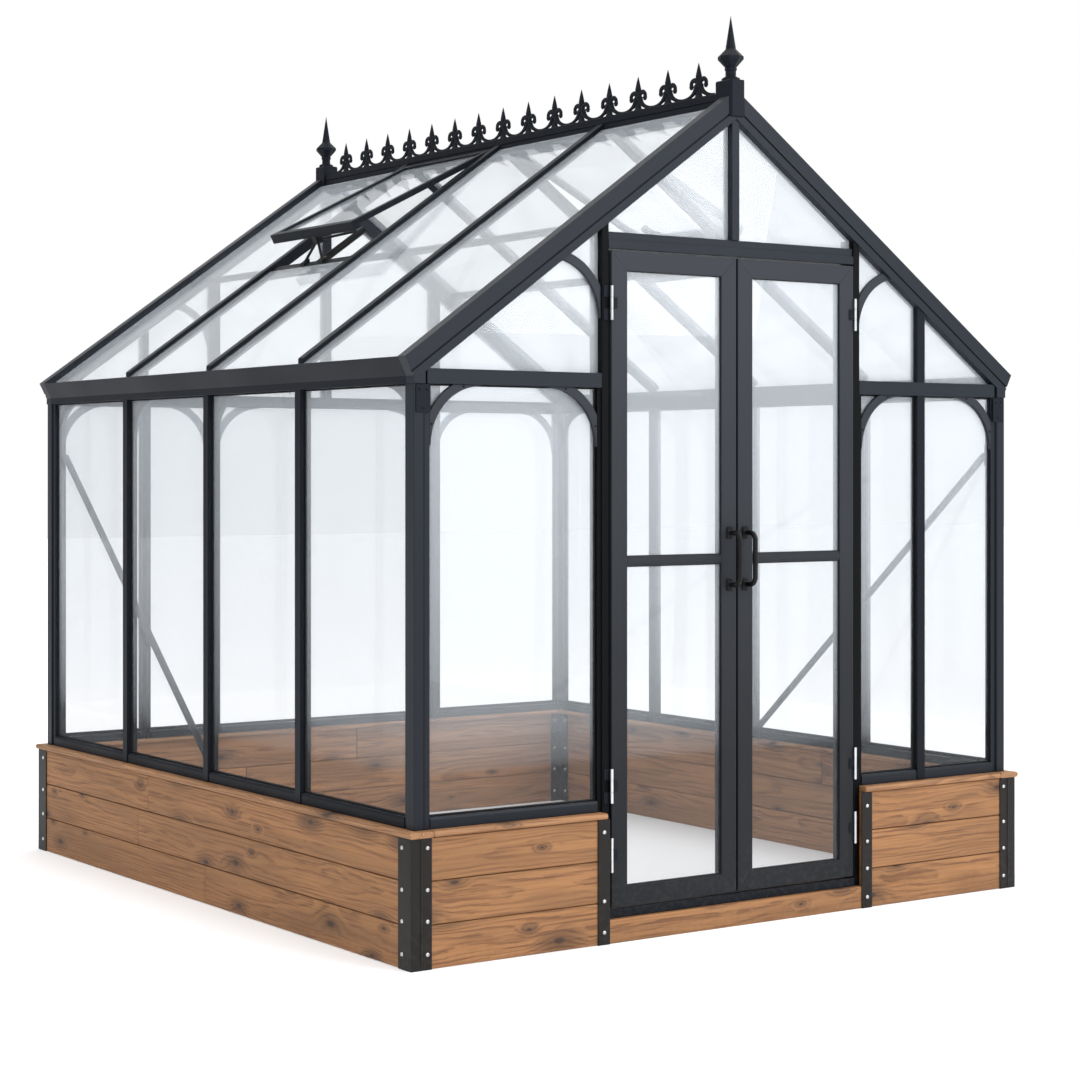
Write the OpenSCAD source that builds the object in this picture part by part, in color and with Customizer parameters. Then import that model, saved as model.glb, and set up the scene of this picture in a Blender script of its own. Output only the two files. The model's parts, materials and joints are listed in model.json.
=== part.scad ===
// Glass greenhouse on a raised timber base: hinged double doors, arched eave brackets,
// two top-hung roof vents and a crested ridge. Millimetres, +Z up, ground at zero.

/* [Timber base] */
// Width of the base across the door side
base_w = 2440; // [2300:10:2600]
// Length of the base from front to back
base_l = 2690; // [2500:10:2900]
// Height of one board
board_h = 127; // [115:1:140]
// Thickness of the boards
base_t = 40; // [34:1:46]
// Depth of the shadow groove between boards
board_groove = 4; // [2:0.5:6]
// Thickness of the cap board
cap_t = 18; // [14:1:24]
// Cap board overhang outside
cap_out = 12; // [8:1:18]
// Cap board overhang inside
cap_in = 32; // [28:1:40]
// Height of the threshold board under the doors
threshold_h = 72; // [60:1:90]
// Leg of the outside corner angles
angle_leg = 72; // [55:1:85]
// Thickness of corner angles and straps
angle_t = 4; // [3:0.5:6]
// Leg of the inside corner angles
inner_leg = 55; // [40:1:65]
// Width of the straps beside the doors
strap_w = 45; // [35:1:55]
// Lap of a strap over the door post
strap_lap = 12; // [6:1:16]

/* [Wall frame] */
// Height of the post tops above ground
eave_h = 1690; // [1640:5:1740]
// Set-back of the frame from the base face
frame_inset = 22; // [18:1:26]
// Depth of the wall bars
frame_d = 46; // [42:1:50]
// Width of the wall and roof bars
bar_w = 35; // [30:1:40]
// Width of the bar webs behind the glass
web_w = 12; // [8:1:16]
// Face width of a corner post
corner_w = 38; // [34:1:42]
// Width of the glazing flange on a post
flange_w = 20; // [16:1:24]
// Set-back of the glazing flange
flange_set = 6; // [4:1:9]
// Height of the sill rails
sill_h = 35; // [30:1:42]
// Set-back of the sill rail face
sill_set = 3; // [2:0.5:5]
// Depth of the glass rebate in the sill rails
sill_step = 8; // [5:1:12]
// Height of the eave ties
tie_h = 45; // [38:1:52]
// Place of the extra gable bar from the middle
gable_bar_x = 805; // [760:5:850]
// Width of the king posts
king_w = 30; // [24:1:36]

/* [Glass] */
// Thickness of the glass
glass_t = 4; // [3:0.5:5]
// Depth of the glass behind the frame face
glass_set = 20; // [16:1:24]
// Clearance at the edges of a pane
glass_gap = 2; // [1:0.5:3]

/* [Doorway] */
// Clear width of the doorway
doorway_w = 1000; // [940:10:1060]
// Face width of a door post
door_post_w = 26; // [22:1:30]
// Depth of a door post
door_post_d = 65; // [56:1:72]
// Width of the glazing flange on a door post
door_flange_w = 14; // [10:1:18]
// Height of the metal sill under the doors
door_sill_h = 28; // [22:1:34]
// Projection of the metal sill
door_sill_out = 4; // [2:0.5:8]
// Drop of the door header below the rafters at the door posts
header_drop = 27; // [15:1:45]
// Thickness of a door leaf
leaf_t = 34; // [30:1:38]
// Projection of the leaves in front of the posts
leaf_proud = 6; // [4:1:10]
// Depth of the door panes behind the leaf face
leaf_pane_set = 8; // [6:1:14]
// Clearance around the leaves
leaf_gap = 6; // [5:0.5:8]
// Clearance between the two leaves
meet_gap = 7; // [7:0.5:10]
// Width of the door stiles and rails
stile_w = 60; // [50:1:70]
// Height of the door middle rail
mid_rail_h = 30; // [24:1:36]
// Height of the middle rail centre above ground
mid_rail_z = 1160; // [1100:5:1220]
// Height of the door header
header_h = 52; // [44:1:60]
// Step of the header face
header_step = 6; // [3:1:9]

/* [Hinges and handles] */
// Diameter of the hinge barrels
barrel_d = 10; // [8:0.5:12]
// Length of a hinge
hinge_len = 105; // [90:1:120]
// Thickness of a hinge plate
hinge_t = 2.5; // [2:0.5:3.5]
// Width of a hinge plate
hinge_plate_w = 20; // [14:1:24]
// Gap between the knuckles
knuckle_gap = 0.5; // [0.3:0.1:1]
// Diameter of the hinge pins
pin_d = 5; // [4:0.5:6]
// Play of the hinge pins in their bores
pin_gap = 0.2; // [0.1:0.1:0.4]
// Rod diameter of the pull handles
handle_d = 16; // [13:1:20]
// Length of a pull handle between its rod centres
handle_len = 164; // [140:1:190]
// Projection of a pull handle to the rod centre
handle_reach = 52; // [44:1:56]
// Handle distance from the meeting edge of the leaf
handle_edge = 28; // [22:1:34]
// Width of the handle end tabs
tab_w = 24; // [20:1:30]
// Length of the handle end tabs
tab_len = 40; // [34:1:48]
// Thickness of the handle end tabs
tab_t = 5; // [3:0.5:7]

/* [Roof] */
// Height of the gable point above ground
apex_h = 2645; // [2600:5:2680]
// Rise of the rafter tops over the post tops at the wall face
eave_rise = 100.5; // [90:0.5:110]
// Depth of the gable rafters
rafter_d = 76; // [66:1:84]
// Thickness of the gable rafters
rafter_t = 44; // [38:1:50]
// Projection of the gable rafters
rafter_proud = 4; // [2:0.5:7]
// Depth of the outer band of a gable rafter
rafter_band = 45; // [38:1:50]
// Width of the rafter groove
groove_w = 6; // [4:1:9]
// Depth of the rafter groove
groove_d = 5; // [3:0.5:8]
// Drop of the roof bars below the rafter tops
bar_drop = 8; // [5:1:12]
// Thickness of the outer flange of a roof bar
bar_cap_t = 14; // [10:1:18]
// Depth of the web of a roof bar
bar_web_d = 26; // [20:1:32]
// Width of the purlins
purlin_w = 20; // [16:1:26]
// Depth of the purlins
purlin_d = 14; // [10:1:18]
// Width of the ridge beam
ridge_w = 50; // [44:1:56]
// Drop of the ridge top below the gable point
ridge_drop = 6; // [3:1:10]
// Recess under the ridge cap
ridge_recess = 5; // [3:0.5:8]

/* [Gutter] */
// Projection of the gutter lip in front of the posts
gutter_out = 31; // [26:1:36]
// Projection of the gutter foot
gutter_toe = 2; // [1:0.5:4]
// Height of the upright gutter foot
gutter_foot = 22; // [16:1:26]
// Thickness of the gutter lip
gutter_lip = 5; // [4:0.5:7]
// Height of the gutter trough floor above the post tops
gutter_floor = 30; // [27:1:34]
// Width of the trough behind the post face
gutter_back = 12; // [8:1:16]

/* [Ridge ornament] */
// Width of the ridge end blocks
block_w = 63; // [56:1:70]
// Depth of the ridge end blocks
block_l = 76; // [68:1:84]
// Projection of the end blocks in front of the frame
block_out = 12; // [8:1:16]
// Height of the end blocks above the gable point
block_up = 32; // [26:1:40]
// Depth of the end blocks below the gable point
block_down = 85; // [80:1:90]
// Chamfer of the end blocks
block_chamfer = 8; // [5:1:12]
// Height of the finial spikes
spike_h = 108; // [90:1:120]
// Diameter of the finial bulbs
bulb_d = 83; // [72:1:92]
// Height of the finial bulbs
bulb_h = 60; // [52:1:70]
// Diameter of the finial necks
neck_d = 34; // [28:1:40]
// Height of the finial necks
neck_h = 26; // [20:1:32]
// Diameter of the finial flare
flare_d = 59; // [52:1:62]
// Height of the finial flare
flare_h = 14; // [10:1:18]
// Height of a cresting spear above the ridge
crest_h = 118; // [100:1:132]
// Width of a cresting spear
spear_w = 32; // [26:1:38]
// Width of the cresting across the scrolls
scroll_span = 89; // [80:1:98]
// Width of the cresting stem
stem_w = 18; // [14:1:22]
// Width of the cresting collar
collar_w = 32; // [28:1:38]
// Height of the cresting collar
collar_h = 10; // [8:1:13]
// Thickness of the cresting
crest_t = 9; // [7:0.5:12]
// Thickness of a cresting spear
spear_t = 7; // [5:0.5:10]
// Height of the cresting strip
strip_h = 4; // [3:0.5:7]
// Spears along the ridge
crest_count = 15; // [13:1:17]

/* [Brackets and braces] */
// Inner radius of the arched brackets
arch_r = 175; // [160:1:190]
// Width of the arched brackets
arch_w = 28; // [22:1:34]
// Blunt tip of the arched brackets
arch_tip = 4; // [3:0.5:6]
// Thickness of the arched brackets
arch_t = 14; // [10:1:15]
// Drop of the raking brackets below the rafters at the door posts
rake_drop = 95; // [70:5:110]
// Diameter of the brace rods
brace_d = 24; // [20:1:28]
// Drop of the brace tops below the post tops
brace_drop = 200; // [170:5:240]
// Length of the brace end lugs
lug_len = 70; // [56:1:84]

/* [Roof vents] */
// Opening angle of the vents in degrees
vent_angle = 8.5; // [6:0.5:12]
// Length of a vent opening down the slope
vent_bay_len = 700; // [670:5:730]
// Length of a vent
vent_len = 660; // [630:5:690]
// Clearance of a vent beside the roof bars
vent_gap = 3; // [2:0.5:5]
// Drop of the vent hinges below the rafter tops
vent_drop = 20; // [16:1:24]
// Width of the vent rails
vent_rail_w = 28; // [24:1:34]
// Thickness of the vent rails
vent_rail_t = 20; // [16:1:24]
// Depth of the vent bottom rail
vent_foot_t = 34; // [30:1:40]
// Diameter of the vent hinge tube
vent_tube_d = 16; // [14:1:18]
// Width of the vent sill
vent_sill_w = 34; // [28:1:40]
// Diameter of the opener cylinder
opener_d = 26; // [22:1:30]
// Length of the opener cylinder
opener_len = 240; // [200:5:280]
// Diameter of the opener arms
opener_arm_d = 10; // [8:0.5:12]
// Spread of the opener arms on the vent sill
opener_spread = 130; // [90:5:150]

/* [Hidden] */
$fn = 64;
// overrun of every cut
cut = 1;
// running clearance of parts that meet along an edge
seat_gap = 0.3;
board_rows = 3;
facets = 8;
// heights and sizes of a fleur as shares of its height or of its arms
arm_share = 0.48;
belly_share = 0.72;
arm_bore_share = 0.5;
knob_share = 0.45;

hw = base_w / 2;
hl = base_l / 2;
base_h = board_h * board_rows;
cap_z = base_h + cap_t;
fx = hw - frame_inset;
fy = hl - frame_inset;
glass_in = glass_set + glass_t;
corner_all = corner_w + flange_w;
bay = (fy - corner_all) / 2;
sill_z = cap_z + sill_h;
pane_z = sill_z - sill_step;
pane_top = eave_h - glass_gap;
brace_z = eave_h - brace_drop;
tie_z = eave_h + tie_h;
door_x = doorway_w / 2;
post_x = door_x + door_post_w;
wing_x = post_x + door_flange_w;

// roof planes: v is measured square to the slope from the rafter tops
roof_pitch = atan((apex_h - eave_h - eave_rise) / fx);
rise = tan(roof_pitch);
square_v = cos(roof_pitch);
function roof_z(x, v) = apex_h - rise * abs(x) + v / square_v;
function roof_x(z, v) = (apex_h + v / square_v - z) / rise;

// door heights and places
header_top = roof_z(door_x, -rafter_d) - header_drop;
header_z = header_top - header_h;
leaf_top = header_z - leaf_gap;
leaf_z = threshold_h + door_sill_h + leaf_gap;
leaf_h = leaf_top - leaf_z;
leaf_x = door_x - leaf_gap;
leaf_w = leaf_x - meet_gap / 2;
leaf_y = -fy - leaf_proud;
pivot_x = door_x - leaf_gap / 2;
pivot_y = leaf_y - barrel_d / 2;
hinge_shares = [0.08, 0.185, 0.92];
knuckle_len = hinge_len / 3;

// roof bars, ridge and eaves
cap_v = -bar_drop - bar_cap_t;
glass_v = cap_v - seat_gap;
web_v = cap_v - bar_web_d;
seat_v = web_v - seat_gap;
under_v = -rafter_d - glass_gap;
roof_y = fy + rafter_proud - rafter_t;
ridge_x = ridge_w / 2;
ridge_z = apex_h - ridge_drop;
bar_end = fx - gutter_back;
lip_x = fx + gutter_out;
block_z = apex_h - block_down;
block_top = apex_h + block_up;
block_y = fy + block_out - block_l / 2;
crest_y = block_y - block_l / 2;
arm_z = crest_h * arm_share;

// vents
vent_x = ridge_x + vent_tube_d / 2 + seat_gap;
vent_z = roof_z(vent_x, -vent_drop);
vent_slope = roof_pitch - vent_angle;
vent_w = bay - bar_w - 2 * vent_gap;
vent_y = bay / 2;
vent_sill_x = ridge_x + vent_bay_len * square_v;
purlin_run = purlin_w * square_v;

timber = [0.55, 0.36, 0.22];
charcoal = [0.16, 0.17, 0.19];
steel = [0.1, 0.1, 0.1];
silver = [0.75, 0.76, 0.78];
clear = [0.8, 0.9, 0.95, 0.35];

// Placing: every wall is drawn as seen from outside, x to the right, y inward

module at_gables() {
    for (turn = [0, 180])
        rotate([0, 0, turn])
            translate([0, -fy, 0])
                children();
}

module at_front() {
    translate([0, -fy, 0])
        children();
}

module at_back() {
    rotate([0, 0, 180])
        translate([0, -fy, 0])
            children();
}

module at_sides() {
    for (turn = [0, 180])
        rotate([0, 0, turn])
            translate([-fx, 0, 0])
                rotate([0, 0, -90])
                    children();
}

module at_slopes() {
    for (turn = [0, 180])
        rotate([0, 0, turn])
            children();
}

module both_hands() {
    children();
    mirror([1, 0, 0])
        children();
}

// Extrusion of an x-z outline along y, from y0 over a length
module along_y(y0, len) {
    translate([0, y0 + len, 0])
        rotate([90, 0, 0])
            linear_extrude(len)
                children();
}

// Extrusion of a y-z outline along x, from x0 over a length
module along_x(x0, len) {
    translate([x0, 0, 0])
        rotate([90, 0, 90])
            linear_extrude(len)
                children();
}

// Band of the roof slope between two places and two depths, of a width along y
module slope_band(x0, x1, v0, v1, y0, len) {
    along_y(y0, len)
        polygon([[x0, roof_z(x0, v0)], [x1, roof_z(x1, v0)], [x1, roof_z(x1, v1)], [x0, roof_z(x0, v1)]]);
}

// Timber base

// Section of the stacked boards with a shadow groove at each joint
module board_section() {
    difference() {
        square([base_t, base_h]);
        for (row = [1 : board_rows - 1], face = [0, base_t])
            translate([face, row * board_h])
                circle(d = 2 * board_groove, $fn = 4);
    }
}

module board_wall(x0, x1) {
    along_x(x0, x1 - x0)
        board_section();
}

module base_left_wall() {
    color(timber)
        translate([-hw, 0, 0])
            rotate([0, 0, -90])
                board_wall(-hl, hl);
}

module base_right_wall() {
    color(timber)
        translate([hw, 0, 0])
            rotate([0, 0, 90])
                board_wall(-hl, hl);
}

module base_back_wall() {
    color(timber)
        translate([0, hl, 0])
            rotate([0, 0, 180])
                board_wall(base_t - hw, hw - base_t);
}

module base_front_left() {
    color(timber)
        translate([0, -hl, 0])
            board_wall(base_t - hw, -post_x);
}

module base_front_right() {
    color(timber)
        translate([0, -hl, 0])
            board_wall(post_x, hw - base_t);
}

module threshold_board() {
    color(timber)
        translate([-post_x, -hl, 0])
            cube([2 * post_x, base_t, threshold_h]);
}

// Rounded-nose section of the cap boards
module cap_section() {
    nose = cap_t / 2;
    translate([nose - cap_out, nose])
        circle(r = nose);
    translate([nose - cap_out, 0])
        square([base_t + cap_in + cap_out - nose, cap_t]);
}

cap_run = hw - base_t - cap_in;

module side_caps() {
    color(timber)
        for (turn = [0, 180])
            rotate([0, 0, turn])
                translate([-hw, 0, base_h])
                    rotate([0, 0, -90])
                        along_x(-hl - cap_out, base_l + 2 * cap_out)
                            cap_section();
}

module end_caps() {
    color(timber) {
        translate([0, hl, base_h])
            rotate([0, 0, 180])
                along_x(-cap_run, 2 * cap_run)
                    cap_section();
        both_hands()
            translate([0, -hl, base_h])
                along_x(post_x, cap_run - post_x)
                    cap_section();
    }
}

// Angle section with its heel at zero and its legs along x and y
module angle_section(leg) {
    difference() {
        square(leg);
        translate([angle_t, angle_t])
            square(leg);
    }
}

module at_corners(x, y) {
    for (sx = [0, 1], sy = [0, 1])
        mirror([sx, 0, 0])
            mirror([0, sy, 0])
                translate([-x, -y, 0])
                    children();
}

module corner_angles() {
    color(steel)
        at_corners(hw + angle_t, hl + angle_t)
            linear_extrude(base_h)
                angle_section(angle_leg);
}

module inner_angles() {
    color(steel)
        at_corners(hw - base_t, hl - base_t)
            linear_extrude(base_h)
                angle_section(inner_leg);
}

module door_straps() {
    color(steel)
        both_hands()
            translate([post_x - strap_lap, -hl - angle_t, 0])
                cube([strap_w, angle_t, base_h]);
}

// Wall frame

// Corner post: square core with a set-back glazing flange on each wall
module corner_section() {
    f = flange_set;
    g = glass_set;
    c = corner_w;
    e = corner_all;
    polygon([[0, 0], [c, 0], [c, f], [e, f], [e, g], [c, g], [c, c], [g, c], [g, e], [f, e],
        [f, c], [0, c]]);
}

module corner_posts() {
    color(charcoal)
        at_corners(fx, fy)
            translate([0, 0, cap_z])
                linear_extrude(eave_h - cap_z)
                    corner_section();
}

// T-shaped glazing bar: flat outside, web inside
module bar_section() {
    b = bar_w / 2;
    w = web_w / 2;
    polygon([[-b, 0], [b, 0], [b, glass_set], [w, glass_set], [w, frame_d], [-w, frame_d], [-w, glass_set],
        [-b, glass_set]]);
}

module side_mullions() {
    color(charcoal)
        at_sides()
            for (x = [-bay, 0, bay])
                translate([x, 0, cap_z])
                    linear_extrude(eave_h - cap_z)
                        bar_section();
}

// Sill rail with a sloping nose outside and a rebate for the glass
module sill_section() {
    nose = sill_h - sill_step;
    polygon([[sill_set, 0], [frame_d, 0], [frame_d, nose], [glass_set, nose], [glass_set, sill_h],
        [2 * sill_set, sill_h], [sill_set, nose]]);
}

module sill_rail(x0, x1) {
    translate([0, 0, cap_z])
        along_x(x0, x1 - x0)
            sill_section();
}

module side_sill_rails() {
    b = bar_w / 2;
    e = fy - corner_all;
    color(charcoal)
        at_sides() {
            sill_rail(-e, -bay - b);
            sill_rail(b - bay, -b);
            sill_rail(b, bay - b);
            sill_rail(bay + b, e);
        }
}

module wing_sills() {
    b = bar_w / 2;
    e = fx - corner_all;
    sill_rail(-e, -wing_x);
    sill_rail(wing_x, gable_bar_x - b);
    sill_rail(gable_bar_x + b, e);
}

module gable_sill_rails() {
    color(charcoal) {
        at_gables()
            wing_sills();
        at_back()
            sill_rail(door_flange_w - door_x, door_x - door_flange_w);
    }
}

// Room under the gable rafters, to cut upright pieces to the slope
module under_rafters(z0) {
    along_y(-door_post_d, 3 * door_post_d)
        polygon([[-fx, z0], [fx, z0], [fx, roof_z(fx, -rafter_d)], [0, roof_z(0, -rafter_d)],
            [-fx, roof_z(fx, -rafter_d)]]);
}

// Upright beside the doorway, cut to the rafter
module gable_post(z0) {
    intersection() {
        translate([door_x, 0, z0])
            cube([door_post_w, door_post_d, apex_h - z0]);
        under_rafters(z0);
    }
}

// Glazing flange of a gable post, from x over a width
module post_flange(x, w) {
    translate([x, flange_set, cap_z])
        cube([w, glass_set - flange_set, eave_h - cap_z]);
}

module door_posts() {
    color(charcoal)
        at_front()
            both_hands() {
                gable_post(threshold_h);
                post_flange(post_x, door_flange_w);
            }
}

module back_posts() {
    color(charcoal)
        at_back()
            both_hands() {
                gable_post(cap_z);
                post_flange(post_x, door_flange_w);
                post_flange(door_x - door_flange_w, door_flange_w);
            }
}

module gable_mullions() {
    color(charcoal)
        at_gables() {
            translate([gable_bar_x, 0, cap_z])
                linear_extrude(eave_h - cap_z)
                    bar_section();
            intersection() {
                translate([gable_bar_x, 0, tie_z])
                    linear_extrude(apex_h - tie_z)
                        bar_section();
                under_rafters(tie_z);
            }
        }
}

// Eave tie of a wing, its outer end cut to the rafter
module wing_tie() {
    x1 = fx - frame_d;
    along_y(0, frame_d)
        polygon([[post_x, eave_h], [x1, eave_h], [x1, roof_z(x1, -rafter_d)],
            [roof_x(tie_z, -rafter_d), tie_z], [post_x, tie_z]]);
}

module eave_ties() {
    color(charcoal) {
        at_gables()
            both_hands()
                wing_tie();
        at_back()
            translate([-door_x, 0, eave_h])
                cube([doorway_w, frame_d, tie_h]);
    }
}

module door_header() {
    color(charcoal)
        at_front()
            along_x(-door_x, doorway_w)
                polygon([[0, header_z], [door_post_d, header_z], [door_post_d, header_top],
                    [header_step, header_top], [header_step, header_z + header_h / 2],
                    [0, header_z + header_h / 2]]);
}

module door_sill() {
    color(charcoal)
        at_front()
            translate([-door_x, -door_sill_out, threshold_h])
                cube([doorway_w, door_post_d + door_sill_out, door_sill_h]);
}

module king_post(z0) {
    k = king_w / 2;
    side_z = roof_z(k, -rafter_d);
    along_y(0, frame_d)
        polygon([[-k, z0], [k, z0], [k, side_z], [0, roof_z(0, -rafter_d)], [-k, side_z]]);
}

module king_posts() {
    color(charcoal) {
        at_front()
            king_post(header_top);
        at_back()
            king_post(tie_z);
    }
}

// Roof frame

// Outline of one gable rafter with its heel on the corner post and its head under the end block
module rafter_outline() {
    x1 = fx - corner_w;
    b = block_w / 2;
    polygon([[b, roof_z(b, 0)], [lip_x, roof_z(lip_x, 0)], [fx + gutter_toe, eave_h + gutter_foot],
        [fx + gutter_toe, eave_h], [x1, eave_h], [x1, roof_z(x1, -rafter_d)], [0, roof_z(0, -rafter_d)],
        [0, block_z], [b, block_z]]);
}

module gable_rafter() {
    difference() {
        along_y(-rafter_proud, rafter_t)
            rafter_outline();
        slope_band(-cut, lip_x + cut, -rafter_band, -rafter_band - groove_w, -rafter_proud - cut,
            groove_d + cut);
    }
}

module left_rafters() {
    color(charcoal) {
        at_front()
            mirror([1, 0, 0])
                gable_rafter();
        at_back()
            gable_rafter();
    }
}

module right_rafters() {
    color(charcoal) {
        at_front()
            gable_rafter();
        at_back()
            mirror([1, 0, 0])
                gable_rafter();
    }
}

// Eave beam and gutter in one section, with a seat for the roof bars
module gutter_section() {
    x0 = fx - frame_d;
    toe = fx + gutter_toe;
    floor_z = eave_h + gutter_floor;
    polygon([[x0, eave_h], [toe, eave_h], [toe, eave_h + gutter_foot], [lip_x, roof_z(lip_x, 0)],
        [lip_x - gutter_lip, roof_z(lip_x, 0)], [toe, floor_z], [bar_end, floor_z],
        [bar_end, roof_z(bar_end, seat_v)], [x0, roof_z(x0, seat_v)]]);
}

module eave_gutters() {
    color(charcoal)
        both_hands()
            along_y(-roof_y, 2 * roof_y)
                gutter_section();
}

// Ridge beam: tall cap, recessed waist and a lower flange that carries the glass
module ridge_beam() {
    low_z = roof_z(ridge_x, web_v);
    waist_z = roof_z(ridge_x, -bar_drop);
    waist_x = ridge_x - ridge_recess;
    color(charcoal)
        along_y(-crest_y, 2 * crest_y)
            polygon([[-ridge_x, low_z], [ridge_x, low_z], [ridge_x, waist_z - ridge_recess],
                [waist_x, waist_z - ridge_recess], [waist_x, waist_z], [ridge_x, waist_z], [ridge_x, ridge_z],
                [-ridge_x, ridge_z], [-ridge_x, waist_z], [-waist_x, waist_z],
                [-waist_x, waist_z - ridge_recess], [-ridge_x, waist_z - ridge_recess]]);
}

// Plan of an end block: square with its outer upright edges cut off
module block_plan() {
    b = block_w / 2;
    l = block_l / 2;
    c = block_chamfer;
    polygon([[c - b, -l], [b - c, -l], [b, c - l], [b, l], [-b, l], [-b, c - l]]);
}

// End blocks: chamfered top and a foot that narrows over the meeting rafters
module ridge_blocks() {
    b = block_w / 2;
    c = block_chamfer;
    color(charcoal)
        for (turn = [0, 180])
            rotate([0, 0, turn])
                intersection() {
                    along_y(-block_y - block_l / 2, block_l)
                        polygon([[-b, block_z], [b, block_z], [b, block_top - c / 2], [b - c / 2, block_top],
                            [c / 2 - b, block_top], [-b, block_top - c / 2]]);
                    translate([0, -block_y, block_z])
                        linear_extrude(block_top - block_z)
                            block_plan();
                }
}

// Eight-sided finial: flared foot, neck with collar, bulb and spike
module finials() {
    neck_z = flare_h + neck_h;
    bulb_z = neck_z + bulb_h;
    collar_share = 0.3;
    belt_shares = [0.45, 0.6];
    color(charcoal)
        for (sy = [-1, 1])
            translate([0, sy * block_y, block_top])
                rotate_extrude($fn = facets)
                    polygon([[0, 0], [flare_d / 2, 0], [flare_d / 2, flare_h / 2], [neck_d / 2, flare_h],
                        [neck_d / 2, neck_z - neck_h * collar_share],
                        [flare_d / 3, neck_z - neck_h * collar_share], [flare_d / 3, neck_z],
                        [neck_d / 2, neck_z], [bulb_d / 2, neck_z + bulb_h * belt_shares[0]],
                        [bulb_d / 2, neck_z + bulb_h * belt_shares[1]], [neck_d / 2, bulb_z],
                        [0, bulb_z + spike_h]]);
}

// Spear of a fleur with its collar
module spear() {
    spear = spear_w / 2;
    foot_z = arm_z - collar_h;
    collar_z = arm_z + collar_h;
    polygon([[0, crest_h], [spear, crest_h * belly_share], [stem_w / 2, collar_z], [collar_w / 2, collar_z],
        [collar_w / 2, foot_z], [-collar_w / 2, foot_z], [-collar_w / 2, collar_z],
        [-stem_w / 2, collar_z], [-spear, crest_h * belly_share]]);
}

// Two arms of a fleur that curl down to a knob
module scrolls() {
    arm_r = (scroll_span / 2 - collar_w / 4) / 2;
    knob_r = arm_r * knob_share;
    for (side = [-1, 1])
        translate([side * (scroll_span / 2 - arm_r), arm_z]) {
            difference() {
                circle(r = arm_r);
                circle(r = arm_r * arm_bore_share);
                translate([-arm_r - cut, -2 * arm_r - collar_h / 2])
                    square([2 * arm_r + 2 * cut, 2 * arm_r]);
            }
            translate([side * (arm_r - knob_r), -knob_r / 2])
                circle(r = knob_r);
        }
}

// Plate under the fleurs, scalloped between the stems and pierced beside each of them
module scalloped_plate(pitch) {
    plate_h = arm_z - collar_h / 2;
    scallop_r = (pitch - stem_w - stem_w) / 2;
    difference() {
        translate([-crest_y, 0])
            square([2 * crest_y, plate_h]);
        for (i = [0 : crest_count])
            translate([i * pitch + pitch / 2 - block_y, scallop_r + strip_h])
                circle(r = scallop_r);
        for (i = [1 : crest_count], side = [-1, 1])
            translate([i * pitch - block_y + side * stem_w, strip_h + stem_w / 4])
                rotate([0, 0, 90])
                    circle(r = stem_w / 3, $fn = 3);
    }
}

// Cresting on the ridge: the pierced plate with its scrolls, and thinner spears that rise from it
module ridge_cresting() {
    pitch = 2 * block_y / (crest_count + 1);
    color(charcoal)
        translate([0, 0, ridge_z])
            rotate([90, 0, -90]) {
                linear_extrude(crest_t, center = true) {
                    scalloped_plate(pitch);
                    at_fleurs(pitch)
                        scrolls();
                }
                linear_extrude(spear_t, center = true)
                    at_fleurs(pitch)
                        spear();
            }
}

module at_fleurs(pitch) {
    for (i = [1 : crest_count])
        translate([i * pitch - block_y, 0])
            children();
}

module roof_bar(y) {
    slope_band(ridge_x, bar_end, -bar_drop, cap_v, y - bar_w / 2, bar_w);
    slope_band(ridge_x, bar_end, cap_v, web_v, y - web_w / 2, web_w);
}

// Cross bar under the open end of a vent, between the webs of two roof bars
module vent_sill() {
    len = bay - web_w - 2 * seat_gap;
    low_x = vent_sill_x + vent_sill_w * square_v;
    slope_band(vent_sill_x, low_x, cap_v - seat_gap, web_v, -vent_y - len / 2, len);
}

module roof_bars() {
    color(charcoal)
        at_slopes() {
            for (y = [-bay, 0, bay])
                roof_bar(y);
            vent_sill();
        }
}

// Cross bars under the roof glass, in line with the vent sills
module purlins() {
    w = web_w / 2;
    top_v = glass_v - glass_t - seat_gap;
    color(charcoal)
        at_slopes()
            for (y = [[-roof_y, -bay - w], [w, bay - w], [bay + w, roof_y]])
                slope_band(vent_sill_x, vent_sill_x + purlin_run, top_v, top_v - purlin_d, y[0], y[1] - y[0]);
}

// Arched bracket in the corner of an upright and a rail, its arc hollow to the bay
module arch() {
    reach = arch_r + arch_tip;
    intersection() {
        square(reach);
        translate([reach, reach])
            difference() {
                circle(r = arch_r + arch_w);
                circle(r = arch_r);
            }
    }
}

// Bracket hung from height z at place x, opening to the right for hand 1 and to the left for -1
module bracket(x, z, hand, depth) {
    translate([x, depth, z])
        rotate([90, 0, 0])
            mirror([hand < 0 ? 1 : 0, 0, 0])
                mirror([0, 1, 0])
                    translate([0, 0, -arch_t])
                        linear_extrude(arch_t)
                            arch();
}

// Raking bracket: an arc from a door post up to the rafter
module rafter_bracket() {
    reach = arch_r + arch_tip;
    z = roof_z(post_x, -rafter_d) - rake_drop - reach;
    intersection() {
        along_y(flange_set, arch_t)
            intersection() {
                translate([post_x, z])
                    square([reach, apex_h - z]);
                translate([post_x + reach, z])
                    difference() {
                        circle(r = arch_r + arch_w);
                        circle(r = arch_r);
                    }
            }
        translate([0, 0, -seat_gap])
            under_rafters(tie_z);
    }
}

module wing_brackets() {
    e = fx - corner_all;
    bracket(-e, eave_h, 1, flange_set);
    bracket(-wing_x, eave_h, -1, flange_set);
    bracket(wing_x, eave_h, 1, flange_set);
    bracket(e, eave_h, -1, flange_set);
}

module gable_brackets() {
    inner = door_x - door_flange_w;
    color(charcoal) {
        at_gables() {
            wing_brackets();
            both_hands()
                rafter_bracket();
        }
        at_back() {
            bracket(-inner, eave_h, 1, flange_set);
            bracket(inner, eave_h, -1, flange_set);
        }
    }
}

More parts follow.
